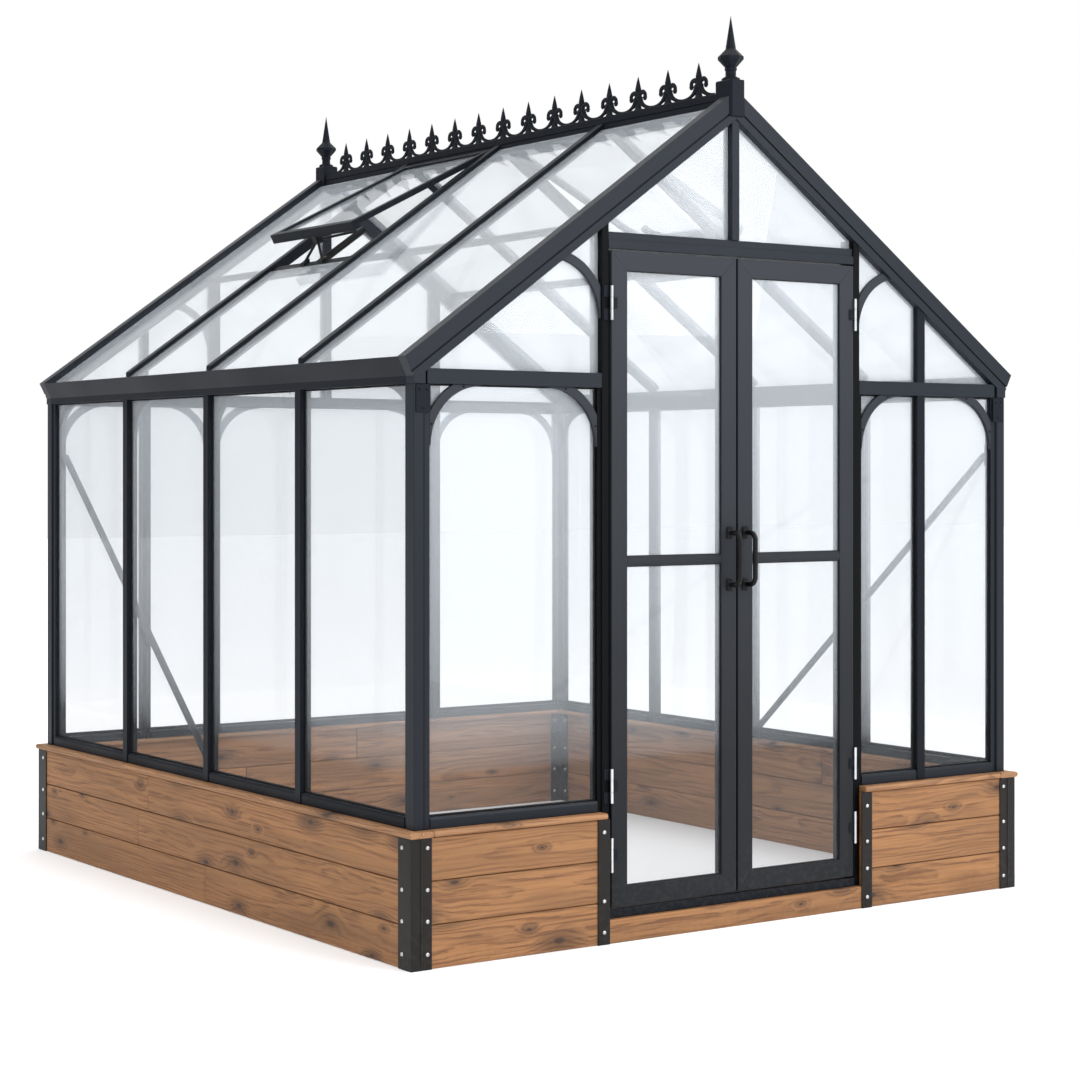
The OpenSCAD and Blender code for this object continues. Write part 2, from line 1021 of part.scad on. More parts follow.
module side_brackets() {
    e = fy - corner_w;
    depth = glass_in + glass_gap;
    color(charcoal)
        at_sides() {
            bracket(-e, eave_h, 1, depth);
            bracket(web_w / 2 - bay, eave_h, 1, depth);
            bracket(web_w / 2, eave_h, 1, depth);
            bracket(e, eave_h, -1, depth);
        }
}

// Diagonal rod with flat lugs on the corner post and on the sill rail
module brace() {
    lug_x = glass_in + glass_gap;
    x0 = corner_w - fy;
    x1 = -bar_w / 2 - lug_len / 2;
    z1 = cap_z + brace_d;
    run = x1 - x0;
    drop = brace_z - z1;
    rod_y = frame_d + brace_d / 2;
    translate([x0, rod_y, brace_z])
        rotate([0, atan2(run, -drop), 0])
            cylinder(d = brace_d, h = norm([run, drop]));
    translate([lug_x - fy, corner_w, brace_z - lug_len / 2])
        cube([corner_w - lug_x, rod_y - corner_w, lug_len]);
    translate([x1 - lug_len / 2, frame_d, cap_z])
        cube([lug_len, rod_y - frame_d, z1 + brace_d / 2 - cap_z]);
}

module braces() {
    color(charcoal)
        at_sides()
            brace();
}

// Glass

module wall_pane(x0, x1) {
    translate([x0, glass_set, pane_z])
        cube([x1 - x0, glass_t, pane_top - pane_z]);
}

module side_glass() {
    w = web_w / 2 + glass_gap;
    e = fy - corner_w - glass_gap;
    color(clear)
        at_sides() {
            wall_pane(-e, -bay - w);
            wall_pane(w - bay, -w);
            wall_pane(w, bay - w);
            wall_pane(bay + w, e);
        }
}

// Pane between two places above height z, cut to the rafter
module raked_pane(x0, x1, z) {
    along_y(glass_set, glass_t)
        polygon([[x0, z], [x1, z], [x1, roof_z(x1, under_v)], [x0, roof_z(x0, under_v)]]);
}

// Pointed pane from place x out to the rafter above height z
module pointed_pane(x, z) {
    along_y(glass_set, glass_t)
        polygon([[x, z], [roof_x(z, under_v), z], [x, roof_z(x, under_v)]]);
}

// Panes of a gable: z is the foot of the two panes beside the king post
module gable_panes(z) {
    w = web_w / 2 + glass_gap;
    e = fx - corner_w - glass_gap;
    p = post_x + glass_gap;
    k = king_w / 2 + glass_gap;
    wall_pane(-e, -p);
    wall_pane(p, gable_bar_x - w);
    wall_pane(gable_bar_x + w, e);
    mirror([1, 0, 0])
        pointed_pane(p, tie_z);
    raked_pane(p, gable_bar_x - w, tie_z);
    pointed_pane(gable_bar_x + w, tie_z);
    both_hands()
        raked_pane(k, door_x - glass_gap, z);
}

module front_glass() {
    color(clear)
        at_front()
            gable_panes(header_top);
}

module back_glass() {
    color(clear)
        at_back() {
            gable_panes(tie_z);
            wall_pane(glass_gap - door_x, door_x - glass_gap);
        }
}

module roof_pane(x0, y0, y1) {
    slope_band(x0, fx, glass_v, glass_v - glass_t, y0, y1 - y0);
}

module roof_glass() {
    w = web_w / 2 + glass_gap;
    e = roof_y - glass_gap;
    x0 = ridge_x + seat_gap;
    end_x0 = block_w / 2 + glass_gap;
    color(clear)
        at_slopes() {
            roof_pane(end_x0, -e, -bay - w);
            roof_pane(vent_sill_x + vent_sill_w * square_v + seat_gap, w - bay, -w);
            roof_pane(x0, w, bay - w);
            roof_pane(end_x0, bay + w, e);
        }
}

// Roof vents, drawn in their own opened plane: x down the vent, z out of it

module at_vents() {
    at_slopes()
        translate([vent_x, -vent_y, vent_z])
            rotate([0, vent_slope, 0])
                children();
}

module vent_frames() {
    half = vent_w / 2;
    r = vent_rail_w;
    color(charcoal)
        at_vents() {
            difference() {
                union() {
                    translate([0, -half, -vent_rail_t / 2])
                        cube([vent_len, vent_w, vent_rail_t]);
                    translate([vent_len - r, -half, vent_rail_t / 2 - vent_foot_t])
                        cube([r, vent_w, vent_foot_t]);
                }
                translate([r, r - half, -vent_foot_t])
                    cube([vent_len - 2 * r, vent_w - 2 * r, 2 * vent_foot_t]);
            }
            translate([0, half, 0])
                rotate([90, 0, 0])
                    cylinder(d = vent_tube_d, h = vent_w);
        }
}

module vent_glass() {
    half = vent_w / 2 - vent_rail_w;
    color(clear)
        at_vents()
            translate([vent_rail_w, -half, -glass_t / 2])
                cube([vent_len - 2 * vent_rail_w, 2 * half, glass_t]);
}

module opener_arm(from, to) {
    d = to - from;
    translate(from)
        rotate([0, acos(d[2] / norm(d)), atan2(d[1], d[0])])
            cylinder(d = opener_arm_d, h = norm(d));
}

// Opener: cylinder above the sill, knuckle under the vent rail, arms from it to the cylinder and the sill
module vent_openers() {
    head_x = vent_sill_x - opener_len * square_v;
    mid_v = web_v + opener_d / 2;
    head = [head_x, -vent_y, roof_z(head_x, mid_v)];
    tail_x = vent_sill_x - seat_gap - opener_d / 2 * sin(roof_pitch);
    tail = [tail_x, -vent_y, roof_z(tail_x, mid_v)];
    tab = vent_rail_w;
    knot_u = vent_len - vent_rail_w / 2;
    knot_v = vent_rail_t / 2 - vent_foot_t - tab / 2;
    knot_x = vent_x + knot_u * cos(vent_slope) + knot_v * sin(vent_slope);
    knot = [knot_x, -vent_y, vent_z - knot_u * sin(vent_slope) + knot_v * cos(vent_slope)];
    toe_x = vent_sill_x + vent_sill_w * square_v / 2;
    color(steel)
        at_slopes() {
            translate(head)
                rotate([0, 90 + roof_pitch, 0])
                    cylinder(d = opener_d, h = norm(tail - head));
            opener_arm(head, knot);
            translate(knot)
                rotate([0, vent_slope, 0])
                    cube(tab, center = true);
            for (side = [-1, 1]) {
                toe_y = side * opener_spread / 2 - vent_y;
                opener_arm(knot, [toe_x, toe_y, roof_z(toe_x, cap_v + opener_arm_d / 2)]);
                slope_band(vent_sill_x, toe_x + opener_arm_d, cap_v + opener_arm_d, cap_v, toe_y - tab / 2, tab);
            }
        }
}

// Doors

function hinge_z(share) = leaf_z + leaf_h * share - hinge_len / 2;

module at_hinges() {
    for (share = hinge_shares)
        translate([pivot_x, pivot_y, hinge_z(share)])
            children();
}

// Post half of the hinges: the two outer knuckles, the pin and a plate on the post face
module hinge_plates() {
    color(silver)
        both_hands()
            at_hinges() {
                cylinder(d = pin_d, h = hinge_len);
                for (z = [0, 2 * knuckle_len + knuckle_gap])
                    translate([0, 0, z]) {
                        cylinder(d = barrel_d, h = knuckle_len - knuckle_gap);
                        post_plate();
                    }
            }
}

// Plate of an outer knuckle, bedded on the face of the post
module post_plate() {
    plate_y = -fy - pivot_y;
    translate([leaf_gap / 2 + seat_gap, plate_y - hinge_t, 0])
        cube([hinge_plate_w, hinge_t, knuckle_len - knuckle_gap]);
    cube([leaf_gap / 2 + seat_gap + hinge_t, plate_y, knuckle_len - knuckle_gap]);
}

// Leaf half of the hinges: the middle knuckle and its plate on the stile
module leaf_hinges() {
    color(silver)
        at_hinges()
            translate([0, 0, knuckle_len])
                difference() {
                    union() {
                        cylinder(d = barrel_d, h = knuckle_len);
                        translate([-leaf_gap / 2 - hinge_plate_w, barrel_d / 2 - hinge_t, 0])
                            cube([hinge_plate_w + leaf_gap / 2, hinge_t, knuckle_len]);
                    }
                    translate([0, 0, -cut])
                        cylinder(d = pin_d + pin_gap, h = knuckle_len + 2 * cut);
                }
}

// Leaf frame of the right-hand door: stiles, top and bottom rails, middle rail
module leaf_frame() {
    x0 = meet_gap / 2;
    s = stile_w;
    color(charcoal)
        along_y(leaf_y, leaf_t)
            difference() {
                translate([x0, leaf_z])
                    square([leaf_w, leaf_h]);
                translate([x0 + s, leaf_z + s])
                    square([leaf_w - 2 * s, mid_rail_z - mid_rail_h / 2 - leaf_z - s]);
                translate([x0 + s, mid_rail_z + mid_rail_h / 2])
                    square([leaf_w - 2 * s, leaf_top - s - mid_rail_z - mid_rail_h / 2]);
            }
}

module leaf_glass() {
    x0 = meet_gap / 2 + stile_w;
    low = leaf_z + stile_w;
    mid_low = mid_rail_z - mid_rail_h / 2;
    mid_high = mid_rail_z + mid_rail_h / 2;
    pane_w = leaf_w - 2 * stile_w;
    pane_y = leaf_y + leaf_pane_set;
    color(clear) {
        translate([x0, pane_y, low])
            cube([pane_w, glass_t, mid_low - low]);
        translate([x0, pane_y, mid_high])
            cube([pane_w, glass_t, leaf_top - stile_w - mid_high]);
    }
}

// Pull handle: upright rod, two bent arms and end tabs on the stile
module leaf_handle() {
    x = meet_gap / 2 + handle_edge;
    half = handle_len / 2;
    bend = handle_d;
    color(steel)
        translate([x, leaf_y, mid_rail_z]) {
            translate([0, -handle_reach, bend - half])
                cylinder(d = handle_d, h = handle_len - 2 * bend);
            for (end = [0, 1])
                mirror([0, 0, end]) {
                    translate([0, bend - handle_reach, half - bend])
                        elbow(bend);
                    translate([0, -tab_t, half])
                        rotate([90, 0, 0])
                            cylinder(d = handle_d, h = handle_reach - tab_t - bend);
                    translate([-tab_w / 2, -tab_t, half - tab_len / 2])
                        cube([tab_w, tab_t, tab_len]);
                }
        }
}

// Quarter bend of the handle rod from straight up to straight back
module elbow(bend) {
    rotate([90, 0, -90])
        rotate_extrude(angle = 90)
            translate([bend, 0])
                circle(d = handle_d);
}

module left_door_frame() { mirror([1, 0, 0]) leaf_frame(); }
module left_door_glass() { mirror([1, 0, 0]) leaf_glass(); }
module left_door_handle() { mirror([1, 0, 0]) leaf_handle(); }
module left_door_hinges() { mirror([1, 0, 0]) leaf_hinges(); }
module right_door_frame() { leaf_frame(); }
module right_door_glass() { leaf_glass(); }
module right_door_handle() { leaf_handle(); }
module right_door_hinges() { leaf_hinges(); }

base_left_wall();
base_right_wall();
base_back_wall();
base_front_left();
base_front_right();
threshold_board();
side_caps();
end_caps();
corner_angles();
inner_angles();
door_straps();
corner_posts();
side_mullions();
side_sill_rails();
gable_sill_rails();
door_posts();
back_posts();
gable_mullions();
eave_ties();
door_header();
door_sill();
king_posts();
left_rafters();
right_rafters();
eave_gutters();
ridge_beam();
ridge_blocks();
finials();
ridge_cresting();
roof_bars();
purlins();
gable_brackets();
side_brackets();
braces();
side_glass();
front_glass();
back_glass();
roof_glass();
vent_frames();
vent_glass();
vent_openers();
hinge_plates();
left_door_frame();
left_door_glass();
left_door_handle();
left_door_hinges();
right_door_frame();
right_door_glass();
right_door_handle();
right_door_hinges();
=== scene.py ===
"""Looks of a glass greenhouse on a low timber base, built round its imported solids.

Lengths are metres in the part's frame: +X to the right along the door side,
+Y from the doors to the back, +Z up, ground at zero.
"""

from __future__ import annotations

import json
import logging
import math
from dataclasses import dataclass, field
from enum import Enum

import bmesh
import bpy
import numpy as np
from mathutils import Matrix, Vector


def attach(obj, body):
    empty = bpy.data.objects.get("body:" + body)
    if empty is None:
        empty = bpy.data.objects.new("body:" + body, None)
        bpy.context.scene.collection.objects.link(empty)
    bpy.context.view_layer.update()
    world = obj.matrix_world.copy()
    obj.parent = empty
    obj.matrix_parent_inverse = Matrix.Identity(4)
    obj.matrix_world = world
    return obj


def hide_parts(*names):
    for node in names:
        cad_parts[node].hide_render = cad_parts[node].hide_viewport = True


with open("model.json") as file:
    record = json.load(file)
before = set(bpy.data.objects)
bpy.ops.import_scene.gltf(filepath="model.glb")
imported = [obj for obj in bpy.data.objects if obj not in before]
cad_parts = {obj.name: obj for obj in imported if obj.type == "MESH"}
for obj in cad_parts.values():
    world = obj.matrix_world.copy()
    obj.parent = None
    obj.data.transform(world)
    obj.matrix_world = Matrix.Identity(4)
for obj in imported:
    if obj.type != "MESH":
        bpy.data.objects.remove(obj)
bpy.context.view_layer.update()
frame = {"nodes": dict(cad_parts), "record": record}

LOG = logging.getLogger("greenhouse")
SEED = 20
SIDES = (-1, 1)
ALONG_X = np.array([1.0, 0, 0])
SMALL_HEAD = 12
SEAL_SEAM = 0.0001
Array = np.ndarray


class Body(str, Enum):
    """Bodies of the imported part."""

    HOUSE = "greenhouse"
    LEFT = "left_door"
    RIGHT = "right_door"


class Slot(str, Enum):
    """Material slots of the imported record."""

    TIMBER = "timber"
    FRAME = "frame"
    STEEL = "base_steel"
    SILVER = "hinge"
    BLACK = "handle"
    GLASS = "glass"


class Axis(Enum):
    """Direction in which a run of boards lies."""

    X = 0
    Y = 1


def grid_faces(rows: int, cols: int) -> Array:
    """Index the four-sided faces of a grid of rings whose last column meets the first.

    Args:
        rows: number of rings.
        cols: points in each ring.

    Returns:
        Array of face corners, four to a row.
    """
    r, c = np.meshgrid(np.arange(rows - 1), np.arange(cols), indexing="ij")
    d = (c + 1) % cols
    low, high = r * cols, (r + 1) * cols
    return np.stack([low + c, low + d, high + d, high + c], -1).reshape(-1, 4)


@dataclass
class Surface:
    """Closed surface: points, faces, and a place in the board for every point of timber."""

    points: Array
    faces: list[list[int]]
    grain: Array | None = None

    @classmethod
    def rings(cls, rings: Array) -> "Surface":
        """Skin a stack of equal rings, and close its ends with one flat face each.

        Args:
            rings: array of shape (rings, points in a ring, 3).

        Returns:
            The skinned surface.
        """
        rows, cols = rings.shape[:2]
        ends = [list(range(cols))[::-1], list(range((rows - 1) * cols, rows * cols))]
        return cls(rings.reshape(-1, 3), grid_faces(rows, cols).tolist() + ends)

    @classmethod
    def joined(cls, parts: list["Surface"]) -> "Surface":
        """Put several surfaces into one list of points and faces.

        Args:
            parts: surfaces in the same frame.

        Returns:
            One surface that holds them all, apart from each other.
        """
        starts = np.cumsum([0] + [len(p.points) for p in parts])
        faces = [[i + s for i in f] for p, s in zip(parts, starts.tolist()) for f in p.faces]
        grain = None if parts[0].grain is None else np.concatenate([p.grain for p in parts])
        return cls(np.concatenate([p.points for p in parts]), faces, grain)

    def turned(self, matrix: Array) -> "Surface":
        """Turn or mirror the points by a 3 by 3 matrix; a mirror also flips the faces."""
        faces = self.faces if np.linalg.det(matrix) > 0 else [f[::-1] for f in self.faces]
        return Surface(self.points @ matrix.T, faces, self.grain)

    def moved(self, *offset: float) -> "Surface":
        """Shift the points by x, y and z."""
        return Surface(self.points + np.array(offset), self.faces, self.grain)


def turn(axis: str, degrees: float) -> Array:
    """Rotation matrix about one of the axes x, y or z.

    Args:
        axis: letter of the axis.
        degrees: angle, counter-clockwise.

    Returns:
        A 3 by 3 matrix.
    """
    c, s = math.cos(math.radians(degrees)), math.sin(math.radians(degrees))
    return np.array({
        "x": [[1, 0, 0], [0, c, -s], [0, s, c]],
        "y": [[c, 0, s], [0, 1, 0], [-s, 0, c]],
        "z": [[c, -s, 0], [s, c, 0], [0, 0, 1]],
    }[axis], float)


MIRROR_X = np.diag([-1.0, 1.0, 1.0])
MIRROR_Y = np.diag([1.0, -1.0, 1.0])
HALF_TURN = np.diag([-1.0, -1.0, 1.0])


def doubled(parts: list[Surface], matrix: Array) -> list[Surface]:
    """The surfaces, followed by their images by a mirror or a turn."""
    return parts + [part.turned(matrix) for part in parts]


def rounded_outline(width: float, height: float, radius: float, steps: int = 4) -> Array:
    """Outline of a rectangle about its centre with quarter-circle corners.

    Args:
        width: size along the first axis.
        height: size along the second axis.
        radius: corner radius.
        steps: segments in each corner.

    Returns:
        Points, counter-clockwise, of shape (4 * (steps + 1), 2).
    """
    angle = np.linspace(0, math.pi / 2, steps + 1)[None, :] + np.arange(4)[:, None] * math.pi / 2
    sign = np.array([[1, 1], [-1, 1], [-1, -1], [1, -1]])
    core = sign * np.array([width / 2 - radius, height / 2 - radius])
    arc = np.stack([np.cos(angle), np.sin(angle)], -1) * radius
    return (core[:, None, :] + arc).reshape(-1, 2)


def bar(outline: Array, length: float, chamfer: float) -> Surface:
    """Carry an outline in the x, z plane along y, drawn in a little at both ends.

    Args:
        outline: closed section about the origin.
        length: length along y from 0.
        chamfer: how far the ends are drawn in.

    Returns:
        A closed bar.
    """
    stations = np.array([0, chamfer, length - chamfer, length])
    reach = np.abs(outline).max(0)
    shrink = np.array([1, 0, 0, 1])[:, None, None] * chamfer / reach
    flat = outline[None] * (1 - shrink)
    y = np.broadcast_to(stations[:, None], flat.shape[:2])
    return Surface.rings(np.stack([flat[..., 0], y, flat[..., 1]], -1))


def revolve(profile: Array, count: int) -> Surface:
    """Turn a profile of radius and height about the z axis.

    Args:
        profile: rows of radius and height, from the foot up.
        count: points round the axis.

    Returns:
        A closed turned surface.
    """
    angle = np.arange(count) * 2 * math.pi / count
    r, z = profile[:, :1], profile[:, 1:]
    return Surface.rings(np.stack([r * np.cos(angle), r * np.sin(angle), z + 0 * angle], -1))


def tube(path: Array, radius: Array | float, normal: Array, count: int = 12, flat: float = 1.0) -> Surface:
    """Carry an ellipse along a path that lies in one plane.

    Args:
        path: points of the centre line.
        radius: half width in the plane, for all or for each point.
        normal: direction square to the plane of the path.
        count: points round the tube.
        flat: half thickness square to the plane as a share of the half width.

    Returns:
        A closed tube.
    """
    along = np.gradient(path, axis=0)
    along /= np.linalg.norm(along, axis=1, keepdims=True)
    side = np.cross(along, normal)
    angle = np.arange(count) * 2 * math.pi / count
    r = np.broadcast_to(radius, len(path))[:, None, None]
    ring = np.cos(angle)[None, :, None] * side[:, None, :]
    ring = ring + flat * np.sin(angle)[None, :, None] * np.asarray(normal, float)
    return Surface.rings(path[:, None, :] + r * ring)


def slab(outline: Array, thickness: float, bevel: float) -> Surface:
    """Thicken a flat outline in the x, z plane along y, with both rims drawn in.

    Args:
        outline: closed outline, counter-clockwise.
        thickness: size along y from 0.
        bevel: width of the drawn-in rims.

    Returns:
        A closed plate.
    """
    ahead = np.roll(outline, -1, 0) - outline
    ahead /= np.linalg.norm(ahead, axis=1, keepdims=True)
    inward = np.stack([-ahead[:, 1], ahead[:, 0]], -1)
    inward = inward + np.roll(inward, 1, 0)
    inward /= np.maximum(np.linalg.norm(inward, axis=1, keepdims=True), 1e-9)
    drawn = outline + inward * bevel
    flat = np.stack([drawn, outline, outline, drawn])
    y = np.array([0, bevel, thickness - bevel, thickness])[:, None] + np.zeros(len(outline))
    return Surface.rings(np.stack([flat[..., 0], y, flat[..., 1]], -1))


SCREW_SHARES = ((1, 0), (1, 0.3), (0.82, 0.74), (0.55, 0.96), (0.4, 1), (0.34, 0.45), (0.05, 0.4))


def screw_head(diameter: float, height: float, count: int = 16) -> Surface:
    """Domed screw head along +z with a round socket in its crown.

    Args:
        diameter: width of the head.
        height: rise of the dome.
        count: points round it.

    Returns:
        The head, its seat at z = 0.
    """
    return revolve(np.array(SCREW_SHARES) * (diameter / 2, height), count)


def put(surface: Surface, name: str, body: Body, slot: Slot, finish: "Finish", *nodes: str) -> None:
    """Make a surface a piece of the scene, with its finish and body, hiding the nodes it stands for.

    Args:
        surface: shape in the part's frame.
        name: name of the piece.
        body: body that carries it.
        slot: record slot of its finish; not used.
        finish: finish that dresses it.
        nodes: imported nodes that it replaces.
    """
    mesh = bpy.data.meshes.new(name)
    mesh.from_pydata(surface.points.tolist(), [], surface.faces)
    work = bmesh.new()
    work.from_mesh(mesh)
    bmesh.ops.recalc_face_normals(work, faces=work.faces)
    work.to_mesh(mesh)
    work.free()
    if surface.grain is not None:
        layer = mesh.attributes.new("grain", "FLOAT_VECTOR", "POINT")
        layer.data.foreach_set("vector", surface.grain.astype(np.float32).ravel())
    mesh.update()
    piece = bpy.data.objects.new(name, mesh)
    bpy.context.scene.collection.objects.link(piece)
    mesh.materials.append(finish.material())
    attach(piece, body.value)
    if nodes:
        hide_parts(*nodes)
    LOG.info("%s: %d points, %d faces on %s", name, len(surface.points), len(surface.faces), body.value)


class Graph:
    """Adds nodes to a node tree and joins their sockets."""

    def __init__(self, tree: bpy.types.NodeTree) -> None:
        """Keep the tree that the nodes go into."""
        self.tree = tree

    def node(self, kind: str, inputs: dict | None = None, **settings: object) -> bpy.types.Node:
        """Add one node.

        Args:
            kind: type name of the node.
            inputs: values or sockets for its inputs, by name or number.
            settings: properties of the node.

        Returns:
            The new node.
        """
        made = self.tree.nodes.new(kind)
        for key, value in settings.items():
            setattr(made, key, value)
        self.feed(made, inputs or {})
        return made

    def feed(self, node: bpy.types.Node, inputs: dict) -> None:
        """Link sockets to the inputs of a node, and set plain values on them.

        Args:
            node: node that takes them.
            inputs: values or sockets by the name or number of the input.
        """
        for key, value in inputs.items():
            if isinstance(value, bpy.types.NodeSocket):
                self.tree.links.new(value, node.inputs[key])
            else:
                node.inputs[key].default_value = value

    def maths(self, operation: str, *values: object, clamp: bool = False) -> bpy.types.NodeSocket:
        """Join numbers or sockets by one operation and return the result."""
        made = self.node("ShaderNodeMath", dict(enumerate(values)), operation=operation, use_clamp=clamp)
        return made.outputs[0]

    def vector(self, operation: str, *values: object) -> bpy.types.NodeSocket:
        """Join vectors by one operation and return the resulting vector."""
        return self.node("ShaderNodeVectorMath", dict(enumerate(values)), operation=operation).outputs[0]

    def noise(self, place: object, scale: object, detail: float = 2.0,
              swirl: float = 0.0) -> bpy.types.NodeSocket:
        """Cloudy value from 0 to 1 at a place."""
        inputs = {"Vector": place, "Scale": scale, "Detail": detail, "Distortion": swirl}
        return self.node("ShaderNodeTexNoise", inputs).outputs[0]

    def spread(self, value: object, low: float, high: float, to_low: object = 0.0,
               to_high: object = 1.0) -> bpy.types.NodeSocket:
        """Stretch a value from one range to another, smoothly and held at its ends."""
        inputs = {0: value, 1: low, 2: high, 3: to_low, 4: to_high}
        return self.node("ShaderNodeMapRange", inputs, interpolation_type="SMOOTHSTEP").outputs[0]

    def mix(self, share: object, first: object, second: object) -> bpy.types.NodeSocket:
        """Mix two colours by a share."""
        inputs = {0: share, 6: first, 7: second}
        return self.node("ShaderNodeMix", inputs, data_type="RGBA").outputs[2]

    def separate(self, place: object) -> tuple[bpy.types.NodeSocket, ...]:
        """Split a vector into its three numbers."""
        return tuple(self.node("ShaderNodeSeparateXYZ", {0: place}).outputs)

    def combine(self, *values: object) -> bpy.types.NodeSocket:
        """Put three numbers into a vector."""
        return self.node("ShaderNodeCombineXYZ", dict(enumerate(values))).outputs[0]

    def group(self, tree: bpy.types.NodeTree, **inputs: object) -> bpy.types.Node:
        """Place a node group, with its inputs named with spaces as underscores."""
        named = {key.replace("_", " "): value for key, value in inputs.items()}
        return self.node("ShaderNodeGroup", named, node_tree=tree)


@dataclass(frozen=True)
class Effect:
    """A shared surface effect: a node group with named sockets."""

    name: str

    def start(self, takes: dict[str, str], gives: dict[str, str]) -> tuple[Graph, object, object]:
        """Open a new group with its sockets.

        Args:
            takes: input names and their socket types.
            gives: output names and their socket types.

        Returns:
            The graph, the input node and the output node.
        """
        tree = bpy.data.node_groups.new(self.name, "ShaderNodeTree")
        for name, kind in takes.items():
            tree.interface.new_socket(name, in_out="INPUT", socket_type="NodeSocket" + kind)
        for name, kind in gives.items():
            tree.interface.new_socket(name, in_out="OUTPUT", socket_type="NodeSocket" + kind)
        graph = Graph(tree)
        return graph, graph.node("NodeGroupInput"), graph.node("NodeGroupOutput")

    def tree(self) -> bpy.types.NodeTree:
        """The group, built at its first use."""
        return bpy.data.node_groups.get(self.name) or self.build()

    def build(self) -> bpy.types.NodeTree:
        """Build the group; each effect has its own."""
        raise NotImplementedError


@dataclass(frozen=True)
class Peel(Effect):
    """Orange-peel waves and fine grains of a sprayed or cast skin."""

    name: str = "peel"
    fine: float = 4.0
    fine_share: float = 0.35
    patches: float = 2.6
    patch_range: tuple[float, float] = (0.3, 0.72)

    def build(self) -> bpy.types.NodeTree:
        """Waves of a few millimetres plus grains, as a height and as a patchy gloss value.

        Returns:
            The group's node tree.
        """
        g, take, give = self.start({"Place": "Vector", "Grain": "Float"},
                                   {"Height": "Float", "Patch": "Float"})
        place, grain = take.outputs["Place"], take.outputs["Grain"]
        waves = g.noise(place, grain)
        grains = g.noise(place, g.maths("MULTIPLY", grain, self.fine), 1.0)
        height = g.maths("ADD", waves, g.maths("MULTIPLY", grains, self.fine_share))
        patch = g.spread(g.noise(place, self.patches, 4.0), *self.patch_range)
        g.feed(give, {"Height": height, "Patch": patch})
        return g.tree


@dataclass(frozen=True)
class Weather(Effect):
    """Dust on faces that look up, and splashes of dirt close to the ground."""

    name: str = "weather"
    clouds: float = 14.0
    cloud_range: tuple[float, float] = (0.35, 0.7)
    upward: tuple[float, float] = (0.35, 1.0)
    drops: float = 55.0
    drop_range: tuple[float, float] = (0.42, 0.68)

    def build(self) -> bpy.types.NodeTree:
        """Dust is the upward part of the normal times cloud; splash fades out with height.

        Returns:
            The group's node tree.
        """
        g, take, give = self.start({"Place": "Vector", "Reach": "Float"},
                                   {"Dust": "Float", "Splash": "Float"})
        place = take.outputs["Place"]
        up = g.separate(g.node("ShaderNodeNewGeometry").outputs["Normal"])[2]
        cloud = g.noise(place, self.clouds, 5.0)
        dust = g.maths("MULTIPLY", g.spread(up, *self.upward), g.spread(cloud, *self.cloud_range))
        height = g.separate(place)[2]
        fade = g.maths("SUBTRACT", 1.0, g.maths("DIVIDE", height, take.outputs["Reach"]), clamp=True)
        spots = g.spread(g.noise(place, self.drops, 4.0), *self.drop_range)
        g.feed(give, {"Dust": dust, "Splash": g.maths("MULTIPLY", fade, spots)})
        return g.tree


